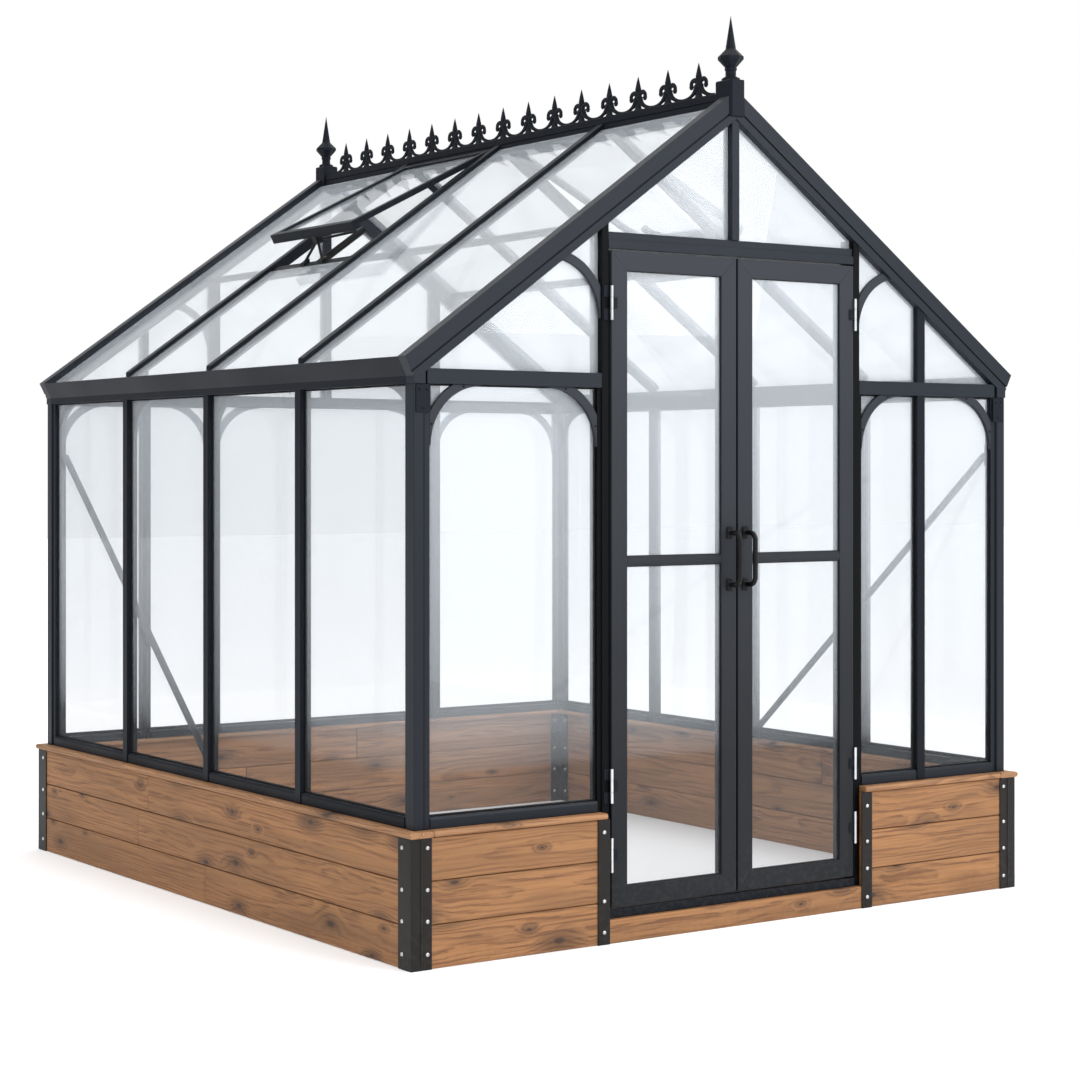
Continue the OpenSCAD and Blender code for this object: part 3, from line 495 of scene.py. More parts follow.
@dataclass(frozen=True)
class BoardGrain(Effect):
    """Year rings, fibres and knots of a sawn softwood board.

    A place in the board is (along, across, across) in metres from the pith, so the rings
    are its distance from that line, bent by slow noise and pushed aside round each knot.
    """

    name: str = "board_grain"
    knots_along: float = 3.4
    knots_across: float = 8.0
    clear_share: float = 0.5
    knot_least: float = 0.5
    knot_more: float = 1.15
    push: float = 0.016
    push_reach: float = 0.32
    sway: float = 0.06
    slow_scale: tuple[float, ...] = (1.3, 7.0, 7.0)
    fibre_scale: tuple[float, ...] = (4.0, 210.0, 210.0)
    tone_scale: tuple[float, ...] = (1.4, 11.0, 11.0)
    late_from: tuple[float, float] = (0.3, 0.84)
    late_to: tuple[float, float] = (0.88, 1.0)
    broken: tuple[float, ...] = (0.25, 0.62, 0.35, 1.0)
    smoke_sway: float = 0.42
    core_sway: float = 0.07
    core: tuple[float, ...] = (0.025, 0.1, 0.95, 0.0)
    smoke: tuple[float, ...] = (0.03, 0.3, 0.6, 0.0)

    def build(self) -> bpy.types.NodeTree:
        """Rings are a saw tooth of the bent radius; knots are cores of stretched cells in smoky rings.

        Returns:
            The group's node tree.
        """
        g, take, give = self.start(
            {"Place": "Vector", "Ring Gap": "Float"},
            {"Rings": "Float", "Fibre": "Float", "Knot": "Float", "Tone": "Float"})
        place = take.outputs["Place"]
        along, deep, high = g.separate(place)
        cells = g.combine(g.maths("MULTIPLY", along, self.knots_along),
                          g.maths("MULTIPLY", high, self.knots_across), 0.0)
        knots = g.node("ShaderNodeTexVoronoi", {"Vector": cells, "Scale": 1.0, "Randomness": 0.9},
                       voronoi_dimensions="2D")
        lot, size, _ = g.separate(knots.outputs["Color"])
        spare = g.maths("LESS_THAN", lot, self.clear_share)
        reach = g.maths("MULTIPLY_ADD", size, self.knot_more, self.knot_least)
        away = g.maths("ADD", g.maths("DIVIDE", knots.outputs["Distance"], reach), spare)
        push = g.maths("MULTIPLY", g.spread(away, 0.0, self.push_reach, 1.0, 0.0), self.push)
        slow = g.noise(g.vector("MULTIPLY", place, self.slow_scale), 1.0, 5.0, 0.6)
        bend = g.maths("MULTIPLY", g.maths("SUBTRACT", slow, 0.5), self.sway)
        squares = g.maths("MULTIPLY_ADD", deep, deep, g.maths("MULTIPLY", high, high))
        radius = g.maths("SQRT", squares)
        bent = g.maths("ADD", g.maths("ADD", radius, bend), push)
        tooth = g.maths("FRACT", g.maths("DIVIDE", bent, take.outputs["Ring Gap"]))
        fibre = g.noise(g.vector("MULTIPLY", place, self.fibre_scale), 1.0, 4.0)
        late = g.maths("MULTIPLY", g.spread(tooth, *self.late_from), g.spread(tooth, *self.late_to, 1.0, 0.0))
        rings = g.maths("MULTIPLY", late, g.spread(fibre, *self.broken))
        tone = g.noise(g.vector("MULTIPLY", place, self.tone_scale), 1.0, 4.0, 0.5)
        smoke = g.maths("ADD", away, g.maths("MULTIPLY", g.maths("SUBTRACT", tone, 0.5), self.smoke_sway))
        ragged = g.maths("ADD", away, g.maths("MULTIPLY", g.maths("SUBTRACT", fibre, 0.5), self.core_sway))
        knot = g.maths("MAXIMUM", g.spread(ragged, *self.core), g.spread(smoke, *self.smoke))
        g.feed(give, {"Rings": rings, "Fibre": fibre, "Tone": tone, "Knot": knot})
        return g.tree


@dataclass(frozen=True)
class Finish:
    """A finish: its name, colour and roughness; each kind wires its own material."""

    name: str
    colour: tuple[float, float, float]
    roughness: float

    def rgba(self, colour: tuple[float, float, float] | None = None, shade: float = 1.0) -> tuple[float, ...]:
        """A colour, or else the finish's own, times a shade, with full cover."""
        return (*(shade * part for part in colour or self.colour), 1.0)

    def material(self) -> bpy.types.Material:
        """The finish's material, wired at its first use.

        Returns:
            The material, the same one at every call.
        """
        found = bpy.data.materials.get(self.name)
        if found:
            return found
        made = bpy.data.materials.new(self.name)
        made.use_nodes = True
        graph = Graph(made.node_tree)
        shader = made.node_tree.nodes["Principled BSDF"]
        graph.feed(shader, {"Base Color": self.rgba(), "Roughness": self.roughness})
        place = graph.node("ShaderNodeTexCoord").outputs["Object"]
        self.wire(graph, shader, place)
        return made

    def wire(self, g: Graph, shader: bpy.types.Node, place: bpy.types.NodeSocket) -> None:
        """Wire the detail of the finish into its shader."""
        raise NotImplementedError

    def bump(self, g: Graph, shader: bpy.types.Node, height: object, depth: float) -> None:
        """Feed a height through a bump of the given depth in metres."""
        bump = g.node("ShaderNodeBump", {"Height": height, "Strength": 1.0, "Distance": depth})
        g.feed(shader, {"Normal": bump.outputs[0]})


@dataclass(frozen=True)
class Coated(Finish):
    """Sprayed or dipped coat on metal: peel, patchy gloss, dust, a little splash, and painted light that
    pales the colour toward the top.
    """

    grain: float = 420.0
    depth: float = 0.00005
    dust: tuple[float, float, float] = (0.16, 0.15, 0.14)
    dusty: float = 0.10
    specular: float = 0.5
    # Painted light: the colour runs from the first to the second shade between the two heights.
    painted_light_shades: tuple[float, float] = (0.95, 1.2)
    heights: tuple[float, float] = (0.1, 2.1)
    splash: float = 0.3
    patchy: float = 0.12
    uneven: float = 0.1

    def wire(self, g: Graph, shader: bpy.types.Node, place: bpy.types.NodeSocket) -> None:
        """The colour pales upward as painted light and with dust, patches change the gloss, peel gives the
        bump.

        Args:
            g: graph of the material.
            shader: shader that takes the results.
            place: place on the piece, in its own coordinates.
        """
        peel = g.group(Peel().tree(), Place=place, Grain=self.grain)
        weather = g.group(Weather().tree(), Place=place, Reach=self.splash)
        soiled = g.maths("ADD", weather.outputs["Dust"], weather.outputs["Splash"], clamp=True)
        # Painted light: a paler colour with height, standing in for the brighter light on upper parts.
        high = g.spread(g.separate(place)[2], *self.heights, 0.0, 1.0 - self.patchy)
        share = g.maths("MULTIPLY_ADD", peel.outputs["Patch"], self.patchy, high)
        tone = g.mix(share, *(self.rgba(shade=shade) for shade in self.painted_light_shades))
        colour = g.mix(g.maths("MULTIPLY", soiled, self.dusty), tone, self.rgba(self.dust))
        rough = g.maths("MULTIPLY_ADD", peel.outputs["Patch"], self.uneven, self.roughness)
        g.feed(shader, {"Base Color": colour, "Roughness": rough, "Specular IOR Level": self.specular})
        self.bump(g, shader, peel.outputs["Height"], self.depth)


@dataclass(frozen=True)
class Bright(Finish):
    """Bare bright metal with fine upright brush lines."""

    brush: tuple[float, float, float] = (900.0, 900.0, 30.0)
    grain: float = 160.0
    uneven: float = 0.16
    dull: float = 0.8
    depth: float = 0.00002

    def wire(self, g: Graph, shader: bpy.types.Node, place: bpy.types.NodeSocket) -> None:
        """Brush lines are noise squeezed along z; they change gloss and height.

        Args:
            g: graph of the material.
            shader: shader that takes the results.
            place: place on the piece, in its own coordinates.
        """
        lines = g.noise(g.vector("MULTIPLY", place, self.brush), 1.0)
        peel = g.group(Peel().tree(), Place=place, Grain=self.grain)
        rough = g.maths("MULTIPLY_ADD", lines, self.uneven, self.roughness)
        tone = g.mix(peel.outputs["Patch"], self.rgba(), self.rgba(shade=self.dull))
        g.feed(shader, {"Base Color": tone, "Roughness": rough, "Metallic": 1.0})
        self.bump(g, shader, lines, self.depth)


@dataclass(frozen=True)
class Stained(Finish):
    """Stained softwood: light early wood, dark late wood, knots and worn, soiled places."""

    late: tuple[float, float, float] = (0.11, 0.040, 0.0135)
    knot: tuple[float, float, float] = (0.028, 0.011, 0.005)
    soil: tuple[float, float, float] = (0.05, 0.03, 0.02)
    ring_gap: float = 0.0085
    splash: float = 0.12
    ring_share: float = 0.58
    fibre_share: float = 0.36
    dark_share: float = 0.62
    dark: float = 0.5
    fine_range: tuple[float, float] = (0.42, 0.7)
    cloud_range: tuple[float, float] = (0.36, 0.72)
    soil_share: float = 0.15
    uneven: float = 0.22
    depth: float = 0.0005

    def wire(self, g: Graph, shader: bpy.types.Node, place: bpy.types.NodeSocket) -> None:
        """Rings, fibres and knots come from the place in the board, kept in the attribute grain.

        Args:
            g: graph of the material.
            shader: shader that takes the results.
            place: place on the piece, in its own coordinates.
        """
        board = g.node("ShaderNodeAttribute", attribute_name="grain").outputs["Vector"]
        wood = g.group(BoardGrain().tree(), Place=board, Ring_Gap=self.ring_gap).outputs
        splash = g.group(Weather().tree(), Place=place, Reach=self.splash).outputs["Splash"]
        rings, fibre = wood["Rings"], wood["Fibre"]
        fine = g.spread(fibre, *self.fine_range, 0.0, self.fibre_share)
        streaks = g.maths("MULTIPLY_ADD", rings, self.ring_share, fine, clamp=True)
        colour = g.mix(streaks, self.rgba(), self.rgba(self.late))
        clouds = g.spread(wood["Tone"], *self.cloud_range, 0.0, self.dark_share)
        toned = g.mix(clouds, colour, self.rgba(shade=self.dark))
        knotted = g.mix(wood["Knot"], toned, self.rgba(self.knot))
        soiled = g.mix(g.maths("MULTIPLY", splash, self.soil_share), knotted, self.rgba(self.soil))
        rough = g.maths("MULTIPLY_ADD", fibre, self.uneven, self.roughness)
        g.feed(shader, {"Base Color": soiled, "Roughness": rough})
        self.bump(g, shader, g.maths("MULTIPLY_ADD", rings, 0.5, fibre), self.depth)


@dataclass(frozen=True)
class Glazing(Finish):
    """Float glass with a pale veil, a thin film plus painted reflection of the bright studio that thickens
    upward, and faint wiped smears.
    """

    low: float = 0.55
    high: float = 2.0
    thin: float = 0.04
    thick: float = 0.34
    clear: float = 0.3
    passing: float = 0.85
    bending: float = 1.45
    smear: float = 0.006
    smear_noise: tuple[float, ...] = (3.0, 5.0, 1.5)
    smear_range: tuple[float, float] = (0.45, 0.8)

    def wire(self, g: Graph, shader: bpy.types.Node, place: bpy.types.NodeSocket) -> None:
        """The veil, painted reflection that grows upward, is the square root of the height share; light bound
        for other pieces passes most of it.

        Args:
            g: graph of the material.
            shader: shader that takes the results.
            place: place on the piece, in its own coordinates.
        """
        # Painted reflection: the pale veil grows with height, standing in for the bright studio mirrored in
        # the upper glass.
        rise = g.maths("SUBTRACT", g.separate(place)[2], self.low)
        share = g.maths("SQRT", g.maths("DIVIDE", rise, self.high - self.low, clamp=True))
        veil_and_painted_reflection = g.maths("MULTIPLY_ADD", share, self.thick - self.thin, self.thin)
        path = g.node("ShaderNodeLightPath")
        light = g.maths("MAXIMUM", path.outputs["Is Shadow Ray"], path.outputs["Is Diffuse Ray"])
        kept = g.maths("MULTIPLY_ADD", light, -self.passing, 1.0)
        smears = g.spread(g.noise(place, *self.smear_noise), *self.smear_range)
        rough = g.maths("MULTIPLY_ADD", smears, self.smear, self.roughness)
        g.feed(shader, {"Alpha": g.maths("MULTIPLY", veil_and_painted_reflection, kept), "Roughness": rough,
                        "Transmission Weight": self.clear, "IOR": self.bending})


@dataclass(frozen=True)
class Ground(Finish):
    """Pale smooth ground."""

    behind: tuple[float, float, float] = (0.645, 0.65, 0.66)
    glow: float = 0.08
    grain: float = 90.0
    uneven: float = 0.1

    def wire(self, g: Graph, shader: bpy.types.Node, place: bpy.types.NodeSocket) -> None:
        """A fine grain on the gloss, a faint glow, and a dimmer tone where glass lies in front.

        Args:
            g: graph of the material.
            shader: shader that takes the results.
            place: place on the piece, in its own coordinates.
        """
        grain = g.noise(place, self.grain, 3.0)
        through = g.maths("MINIMUM", g.node("ShaderNodeLightPath").outputs["Transparent Depth"], 1.0)
        g.feed(shader, {"Base Color": g.mix(through, self.rgba(), self.rgba(self.behind)),
                        "Roughness": g.maths("MULTIPLY_ADD", grain, self.uneven, self.roughness),
                        "Specular IOR Level": 0.0, "Emission Color": self.rgba(),
                        "Emission Strength": self.glow})


CHARCOAL = Coated("charcoal_coat", (0.0066, 0.0084, 0.0124), 0.40, specular=0.085)
# Painted shade: a darker copy of the frame coat, for the door posts whose side faces lie in shadow.
SHADED_POST_COAT = Coated("post_coat_painted_shade", (0.0034, 0.0038, 0.0046), 0.46, dusty=0.05, specular=0.05)
# Painted light: a lighter, glossier copy of the frame coat for the members that catch more light.
LIT_SLATE = Coated("slate_coat_painted_light", (0.0085, 0.0115, 0.0172), 0.38, specular=0.17)
# Painted light: a lighter copy of the frame coat for the door sashes and gable brackets, strongly paler
# toward the top.
LIT_LEAF_COAT = Coated("leaf_coat_painted_light", (0.0165, 0.0190, 0.0240), 0.38, specular=0.16, painted_light_shades=(0.5, 1.5))
BASE_STEEL = Coated("base_steel_coat", (0.0092, 0.0080, 0.0068), 0.42, grain=300.0, dusty=0.06,
                    specular=0.2)
SATIN_BLACK = Coated("satin_black_coat", (0.003, 0.003, 0.0035), 0.3, grain=500.0, depth=0.00003,
                     dusty=0.01, specular=0.2)
RUBBER = Coated("seal_rubber", (0.005, 0.005, 0.006), 0.62, grain=700.0, depth=0.00006, dusty=0.04,
                specular=0.2)
SILVER = Bright("brushed_steel", (0.66, 0.67, 0.69), 0.24)
BOARD = Stained("stained_board", (0.322, 0.149, 0.053), 0.55)
CAP_BOARD = Stained("stained_cap", (0.360, 0.178, 0.074), 0.5, ring_gap=0.007)
GLASS = Glazing("float_glass", (0.725, 0.78, 0.835), 0.004)
PALE = Ground("pale_ground", (0.95, 0.95, 0.955), 0.8)

# Lit and shaded copies of the one frame coat: painted light on these members and the gable brackets, painted
# shade on the door posts.
LIT_SLATE_NODES = ("left_rafters", "right_rafters", "door_header", "king_posts", "eave_ties", "corner_posts",
               "gable_sill_rails")
NODE_COATS = {"gable_brackets": LIT_LEAF_COAT, "door_posts": SHADED_POST_COAT} | dict.fromkeys(LIT_SLATE_NODES, LIT_SLATE)
NODE_FINISH = {Slot.TIMBER: BOARD, Slot.FRAME: CHARCOAL, Slot.STEEL: BASE_STEEL, Slot.SILVER: SILVER,
               Slot.BLACK: SATIN_BLACK, Slot.GLASS: GLASS}


def mitred_frame(section: Array, across: tuple[float, float], upward: tuple[float, float],
                 seam: float) -> list[Surface]:
    """Four members round an opening that meet on 45 degree lines.

    A section row (u, v) is u inward from the outer edge and v deep; each member is the
    section carried along one edge, and its ends lie where both members are u from the edge.

    Args:
        section: closed outline of u and v.
        across: left and right outer edge.
        upward: low and high outer edge.
        seam: half width of the open line at each mitre.

    Returns:
        The members in the x, z plane, y as depth.
    """
    u, v = section.T
    (left, right), (low, high) = across, upward
    ends_z = np.stack([low + u + seam, high - u - seam])
    ends_x = np.stack([left + u + seam, right - u - seam])
    deep = np.stack([v, v])
    uprights = [np.stack([np.stack([x, x]), deep, ends_z], -1) for x in (left + u, right - u)]
    rails = [np.stack([ends_x, deep, np.stack([z, z])], -1) for z in (low + u, high - u)]
    return [Surface.rings(rings) for rings in uprights + rails]


@dataclass
class TimberBase:
    """Board walls, threshold and cap boards."""

    width: float = 2.44
    length: float = 2.69
    thick: float = 0.04
    rows: int = 3
    row: float = 0.127
    gap: float = 0.0026
    radius: float = 0.0035
    end_ease: float = 0.002
    tongue: float = 0.009
    cap_width: float = 0.084
    cap_thick: float = 0.018
    cap_out: float = 0.012
    nose_share: float = 0.45
    door_half: float = 0.526
    threshold: float = 0.072
    side_joints: tuple[float, ...] = (-0.04, 0.477, 0.396)
    back_joints: tuple[float, ...] = (0.42, -0.36, 0.15)
    pith_from: tuple[float, ...] = (0, 0.045, -0.05)
    pith_to: tuple[float, ...] = (60, 0.1, 0.05)
    draws: np.random.Generator = field(default_factory=lambda: np.random.default_rng(SEED))

    def plank(self, length: float, height: float, thick: float, radius: float) -> Surface:
        """One board along y from 0, with the place of each point from the board's own pith.

        Args:
            length: length of the board.
            height: size along z.
            thick: size along x.
            radius: rounding of its edges.

        Returns:
            The board about the y axis.
        """
        made = bar(rounded_outline(thick, height, radius), length, self.end_ease)
        start, deep, high = self.draws.uniform(self.pith_from, self.pith_to)
        side = self.draws.choice((-1.0, 1.0))
        p = made.points
        made.grain = np.stack([p[:, 1] + start, p[:, 0] + side * deep, p[:, 2] + high], -1)
        return made

    def run(self, axis: Axis, start: float, length: float, middle: float, low: float, height: float,
            thick: float, radius: float) -> Surface:
        """Lay one board along an axis.

        Args:
            axis: direction of the board.
            start: where it starts along that axis.
            length: how long it is.
            middle: where its middle lies across that axis.
            low: height of its lower edge.
            height: size upward.
            thick: size across.
            radius: rounding of its edges.

        Returns:
            The board in place.
        """
        board = self.plank(length, height, thick, radius)
        if axis is Axis.X:
            return board.turned(turn("z", -90)).moved(start, middle, low + height / 2)
        return board.moved(middle, start, low + height / 2)

    def wall(self, axis: Axis, start: float, length: float, middle: float,
             joints: tuple[float, ...]) -> Surface:
        """Rows of boards, each parted at its own butt joint, on a core that closes the gaps.

        Args:
            axis: direction of the wall.
            start: where it starts along that axis.
            length: how long it is.
            middle: where its middle lies across that axis.
            joints: place of the joint in each row, from the ground up, or none.

        Returns:
            All the boards of the wall.
        """
        boards = []
        size = (self.row - self.gap, self.thick, self.radius)
        for row in range(self.rows):
            cuts = [start, *([joints[row]] if joints else []), start + length]
            low = row * self.row + self.gap / 2
            for first, last in zip(cuts[:-1], cuts[1:]):
                reach = last - first - self.gap / 2 * (last < cuts[-1])
                boards.append(self.run(axis, first, reach, middle, low, *size))
        core = (self.rows * self.row - 2 * self.tongue, self.thick - 2 * self.tongue, self.radius)
        reach = length - 2 * self.tongue
        boards.append(self.run(axis, start + self.tongue, reach, middle, self.tongue, *core))
        return Surface.joined(boards)

    def build(self) -> None:
        """Build walls, threshold and caps, and stand them for their nodes."""
        side, end = self.width / 2 - self.thick / 2, self.length / 2 - self.thick / 2
        half, inner, door = self.length / 2, self.width / 2 - self.thick, self.door_half
        wing = inner - door
        turned_joints = tuple(-joint for joint in self.side_joints)
        walls = (
            ("left_boards", "base_left_wall", Axis.Y, -half, self.length, -side, self.side_joints),
            ("right_boards", "base_right_wall", Axis.Y, -half, self.length, side, turned_joints),
            ("back_boards", "base_back_wall", Axis.X, -inner, 2 * inner, end, self.back_joints),
            ("front_left_boards", "base_front_left", Axis.X, -inner, wing, -end, ()),
            ("front_right_boards", "base_front_right", Axis.X, door, wing, -end, ()),
        )
        for name, node, *run in walls:
            put(self.wall(*run), name, Body.HOUSE, Slot.TIMBER, BOARD, node)
        plank = self.run(Axis.X, -door, 2 * door, -end, 0, self.threshold, self.thick, self.radius)
        put(plank, "threshold_plank", Body.HOUSE, Slot.TIMBER, BOARD, "threshold_board")
        self.caps()

    def caps(self) -> None:
        """Build the bull-nosed cap boards of the sides and the ends."""
        side = self.width / 2 + self.cap_out - self.cap_width / 2
        reach, inner = self.length / 2 + self.cap_out, side - self.cap_width / 2
        end = reach - self.cap_width / 2
        size = (self.rows * self.row, self.cap_thick, self.cap_width, self.cap_thick * self.nose_share)
        put(Surface.joined([self.run(Axis.Y, -reach, 2 * reach, s * side, *size) for s in SIDES]),
            "side_cap_boards", Body.HOUSE, Slot.TIMBER, CAP_BOARD, "side_caps")
        wing = inner - self.door_half
        runs = ((-inner, 2 * inner, end), (-inner, wing, -end), (self.door_half, wing, -end))
        put(Surface.joined([self.run(Axis.X, *run, *size) for run in runs]),
            "end_cap_boards", Body.HOUSE, Slot.TIMBER, CAP_BOARD, "end_caps")


class Facing(Enum):
    """Way that a screw head looks, as the turn of its axis from +z."""

    FRONT = "x", 90.0
    BACK = "x", -90.0
    LEFT = "y", -90.0
    RIGHT = "y", 90.0

    def place(self, head: Surface, spots: list[tuple[float, float, float]]) -> list[Surface]:
        """Copies of a head, turned this way, at several spots."""
        turned = head.turned(turn(*self.value))
        return [turned.moved(*spot) for spot in spots]


@dataclass
class BaseIronwork:
    """Screws and folded ribs of the angles and straps on the base."""

    half_width: float = 1.22
    half_length: float = 1.345
    plate: float = 0.004
    heights: tuple[float, ...] = (0.045, 0.140, 0.231, 0.352)
    front_set: float = 0.052
    side_set: float = 0.044
    strap: float = 0.5365
    strap_heights: tuple[tuple[float, ...], ...] = ((0.038, 0.133, 0.342), (0.036, 0.130, 0.219, 0.336))
    inner_set: float = 0.034
    wall: float = 0.04
    head: float = 0.0125
    head_rise: float = 0.0042
    rib_width: float = 0.007
    rib_thick: float = 0.004
    rib_radius: float = 0.0018
    rib_length: float = 0.372
    rib_ease: float = 0.001
    rib_set: float = 0.031
    rib_foot: float = 0.004

    def legs(self, out: tuple[float, float], rows: tuple[float, float],
             ways: tuple[Facing, ...]) -> list[Surface]:
        """Heads on both legs of the four angles.

        Args:
            out: distance of the legs' faces from the middle, along x and y.
            rows: distance of the rows of heads from the middle, along x and y.
            ways: way that the heads look on the front, back, left and right legs.

        Returns:
            The heads.
        """
        (x, y), (px, py) = out, rows
        legs = [[(s * px, -y) for s in SIDES], [(s * px, y) for s in SIDES],
                [(-x, s * py) for s in SIDES], [(x, s * py) for s in SIDES]]
        head = screw_head(self.head, self.head_rise)
        return [made for way, leg in zip(ways, legs)
                for made in way.place(head, [(*spot, z) for spot in leg for z in self.heights])]

    def screws(self) -> list[Surface]:
        """All screw heads of the base: outer angles, straps and inner angles.

        Returns:
            The heads in place.
        """
        outer = (self.half_width + self.plate, self.half_length + self.plate)
        rows = (self.half_width - self.front_set, self.half_length - self.side_set)
        made = self.legs(outer, rows, (Facing.FRONT, Facing.BACK, Facing.LEFT, Facing.RIGHT))
        head = screw_head(self.head, self.head_rise)
        for side, heights in zip(SIDES, self.strap_heights):
            made += Facing.FRONT.place(head, [(side * self.strap, -outer[1], z) for z in heights])
        inner = (self.half_width - self.wall - self.plate, self.half_length - self.wall - self.plate)
        rows = (inner[0] - self.inner_set, inner[1] - self.inner_set)
        return made + self.legs(inner, rows, (Facing.BACK, Facing.FRONT, Facing.RIGHT, Facing.LEFT))

    def ribs(self) -> list[Surface]:
        """Upright folded rib on the gable leg of each outer angle.

        Returns:
            Four ribs in place.
        """
        outline = rounded_outline(self.rib_width, self.rib_thick, self.rib_radius)
        rib = bar(outline, self.rib_length, self.rib_ease).turned(turn("x", 90))
        spots = [(s * (self.half_width - self.rib_set), e * (self.half_length + self.plate), self.rib_foot)
                 for s in SIDES for e in SIDES]
        return [rib.moved(*spot) for spot in spots]

    def build(self) -> None:
        """Add the screws and the ribs to the house."""
        put(Surface.joined(self.screws()), "base_screws", Body.HOUSE, Slot.SILVER, SILVER)
        put(Surface.joined(self.ribs()), "angle_ribs", Body.HOUSE, Slot.STEEL, BASE_STEEL)


@dataclass
class DoorLeaf:
    """One door leaf: mitred frame with beads, middle rail, seals and a bent-rod pull.

    It is worked out for the right-hand leaf, and the left one is its mirror image.
    """

    body: Body
    name: str
    inner: float = 0.0035
    outer: float = 0.494
    low: float = 0.106
    high: float = 2.11
    front: float = -1.329
    deep: float = 0.034
    stile: float = 0.06
    edge: tuple[tuple[float, float], ...] = ((0, 0.0022), (0.0006, 0.0006), (0.0022, 0))
    bead: tuple[tuple[float, float], ...] = ((-0.0016, 0), (-0.0005, 0.00045), (0, 0.0015))
    seam: float = 0.0004
    pane: float = 0.01
    rail_z: float = 1.16
    rail_h: float = 0.03
    rail_radius: float = 0.003
    rail_step: float = 0.002
    rail_rim: float = 0.007
    rail_ease: float = 0.0005
    lip_width: float = 0.0029
    lip_deep: float = 0.010
    lip_radius: float = 0.0012
    lip_ease: float = 0.001
    lip_clear: float = 0.005
    lip_out: float = 0.0013
    seal: float = 0.0035
    seal_radius: float = 0.0014
    seal_under: float = 0.001
    seal_off: float = 0.0036
    pull_x: float = 0.0315
    pull_half: float = 0.082
    pull_reach: float = 0.052
    pull_bend: float = 0.024
    pull_radius: float = 0.008
    pull_root: float = 0.004
    straight_share: float = 0.6
    tab_width: float = 0.024
    tab_height: float = 0.04
    tab_radius: float = 0.006
    tab_thick: float = 0.005
    tab_rim: float = 0.0014
    foot: tuple[tuple[float, float], ...] = ((0.0115, 0), (0.0115, 0.0012), (0.01, 0.003), (0.008, 0.0036))
    tab_screw: float = 0.0062
    tab_screw_rise: float = 0.0018
    tab_screw_z: float = 0.0155
    hinges: tuple[float, ...] = (0.2665, 0.4765, 1.9495)
    hinge_screw: float = 0.007
    hinge_screw_rise: float = 0.0014
    hinge_screw_x: float = 0.4835
    hinge_screw_z: float = 0.010
    hinge_plate: float = 0.0025

    def hand(self, surface: Surface) -> Surface:
        """The surface for this leaf's hand."""
        return surface if self.body is Body.RIGHT else surface.turned(MIRROR_X)

    def frame_section(self) -> Array:
        """Section of a frame member: flat faces with eased edges.

        Returns:
            Closed outline of inward distance and depth.
        """
        front = np.concatenate([np.array(self.edge), np.array(self.bead) + (self.stile, 0)])
        back = front[::-1] * (1, -1) + (0, self.deep)
        return np.concatenate([front, back])

    def rail(self, deep: float, height: float, radius: float) -> Surface:
        """A bar from stile to stile at the height of the middle rail.

        Args:
            deep: size along y.
            height: size along z.
            radius: rounding of its edges.

        Returns:
            The bar, before it is moved to the door's plane.
        """
        span = self.outer - self.inner - 2 * self.stile
        made = bar(rounded_outline(deep, height, radius), span, self.rail_ease).turned(turn("z", -90))
        return made.moved(self.inner + self.stile, self.deep / 2, self.rail_z)

    def build_frame(self) -> None:
        """Four mitred members and the middle rail with its rib."""
        across, upward = (self.inner, self.outer), (self.low, self.high)
        parts = mitred_frame(self.frame_section(), across, upward, self.seam)
        parts.append(self.rail(self.deep - 2 * self.rail_step, self.rail_h, self.rail_radius))
        parts.append(self.rail(self.deep, self.rail_h - 2 * self.rail_rim, self.rail_step))
        whole = Surface.joined(parts).moved(0, self.front, 0)
        put(self.hand(whole), self.name + "_sash", self.body, Slot.FRAME, LIT_LEAF_COAT, self.name + "_frame")

    def build_seals(self) -> None:
        """Soft lip on the meeting edge and a seal round each pane, on both faces."""
        outline = rounded_outline(self.lip_width, self.lip_deep, self.lip_radius)
        lip = bar(outline, self.high - self.low - 2 * self.lip_clear, self.lip_ease).turned(turn("x", 90))
        parts = [lip.moved(self.inner - self.lip_out, self.front + self.deep / 2, self.low + self.lip_clear)]
        bead = rounded_outline(self.seal, self.seal, self.seal_radius, 2) + (self.seal / 2, 0.0)
        under, half = self.seal_under, self.rail_h / 2
        across = (self.inner + self.stile - under, self.outer - self.stile + under)
        panes = ((self.low + self.stile, self.rail_z - half), (self.rail_z + half, self.high - self.stile))
        for low, high in panes:
            ring = mitred_frame(bead, across, (low - under, high + under), SEAL_SEAM)
            for side in SIDES:
                deep = self.front + self.pane + side * self.seal_off
                parts += [member.moved(0, deep, 0) for member in ring]
        put(self.hand(Surface.joined(parts)), self.name + "_seals", self.body, Slot.BLACK, RUBBER)

    def pull_path(self) -> Array:
        """Centre line of the pull: out from the stile, a quarter turn, down, and back, in one plane.

        Returns:
            Points of the line, from the upper root to the lower one.
        """
        a = np.linspace(math.pi / 2, math.pi, 9)
        flat, half, bend = self.pull_reach - self.pull_bend, self.pull_half, self.pull_bend
        top = np.stack([-flat + bend * np.cos(a), half - bend * (1 - np.sin(a))], -1)
        start = np.array([[-self.pull_root, half], [-flat * self.straight_share, half]])
        upper = np.concatenate([start, top])
        path = np.concatenate([upper, upper[::-1] * (1, -1)])
        return np.insert(path, 0, 0.0, axis=1)

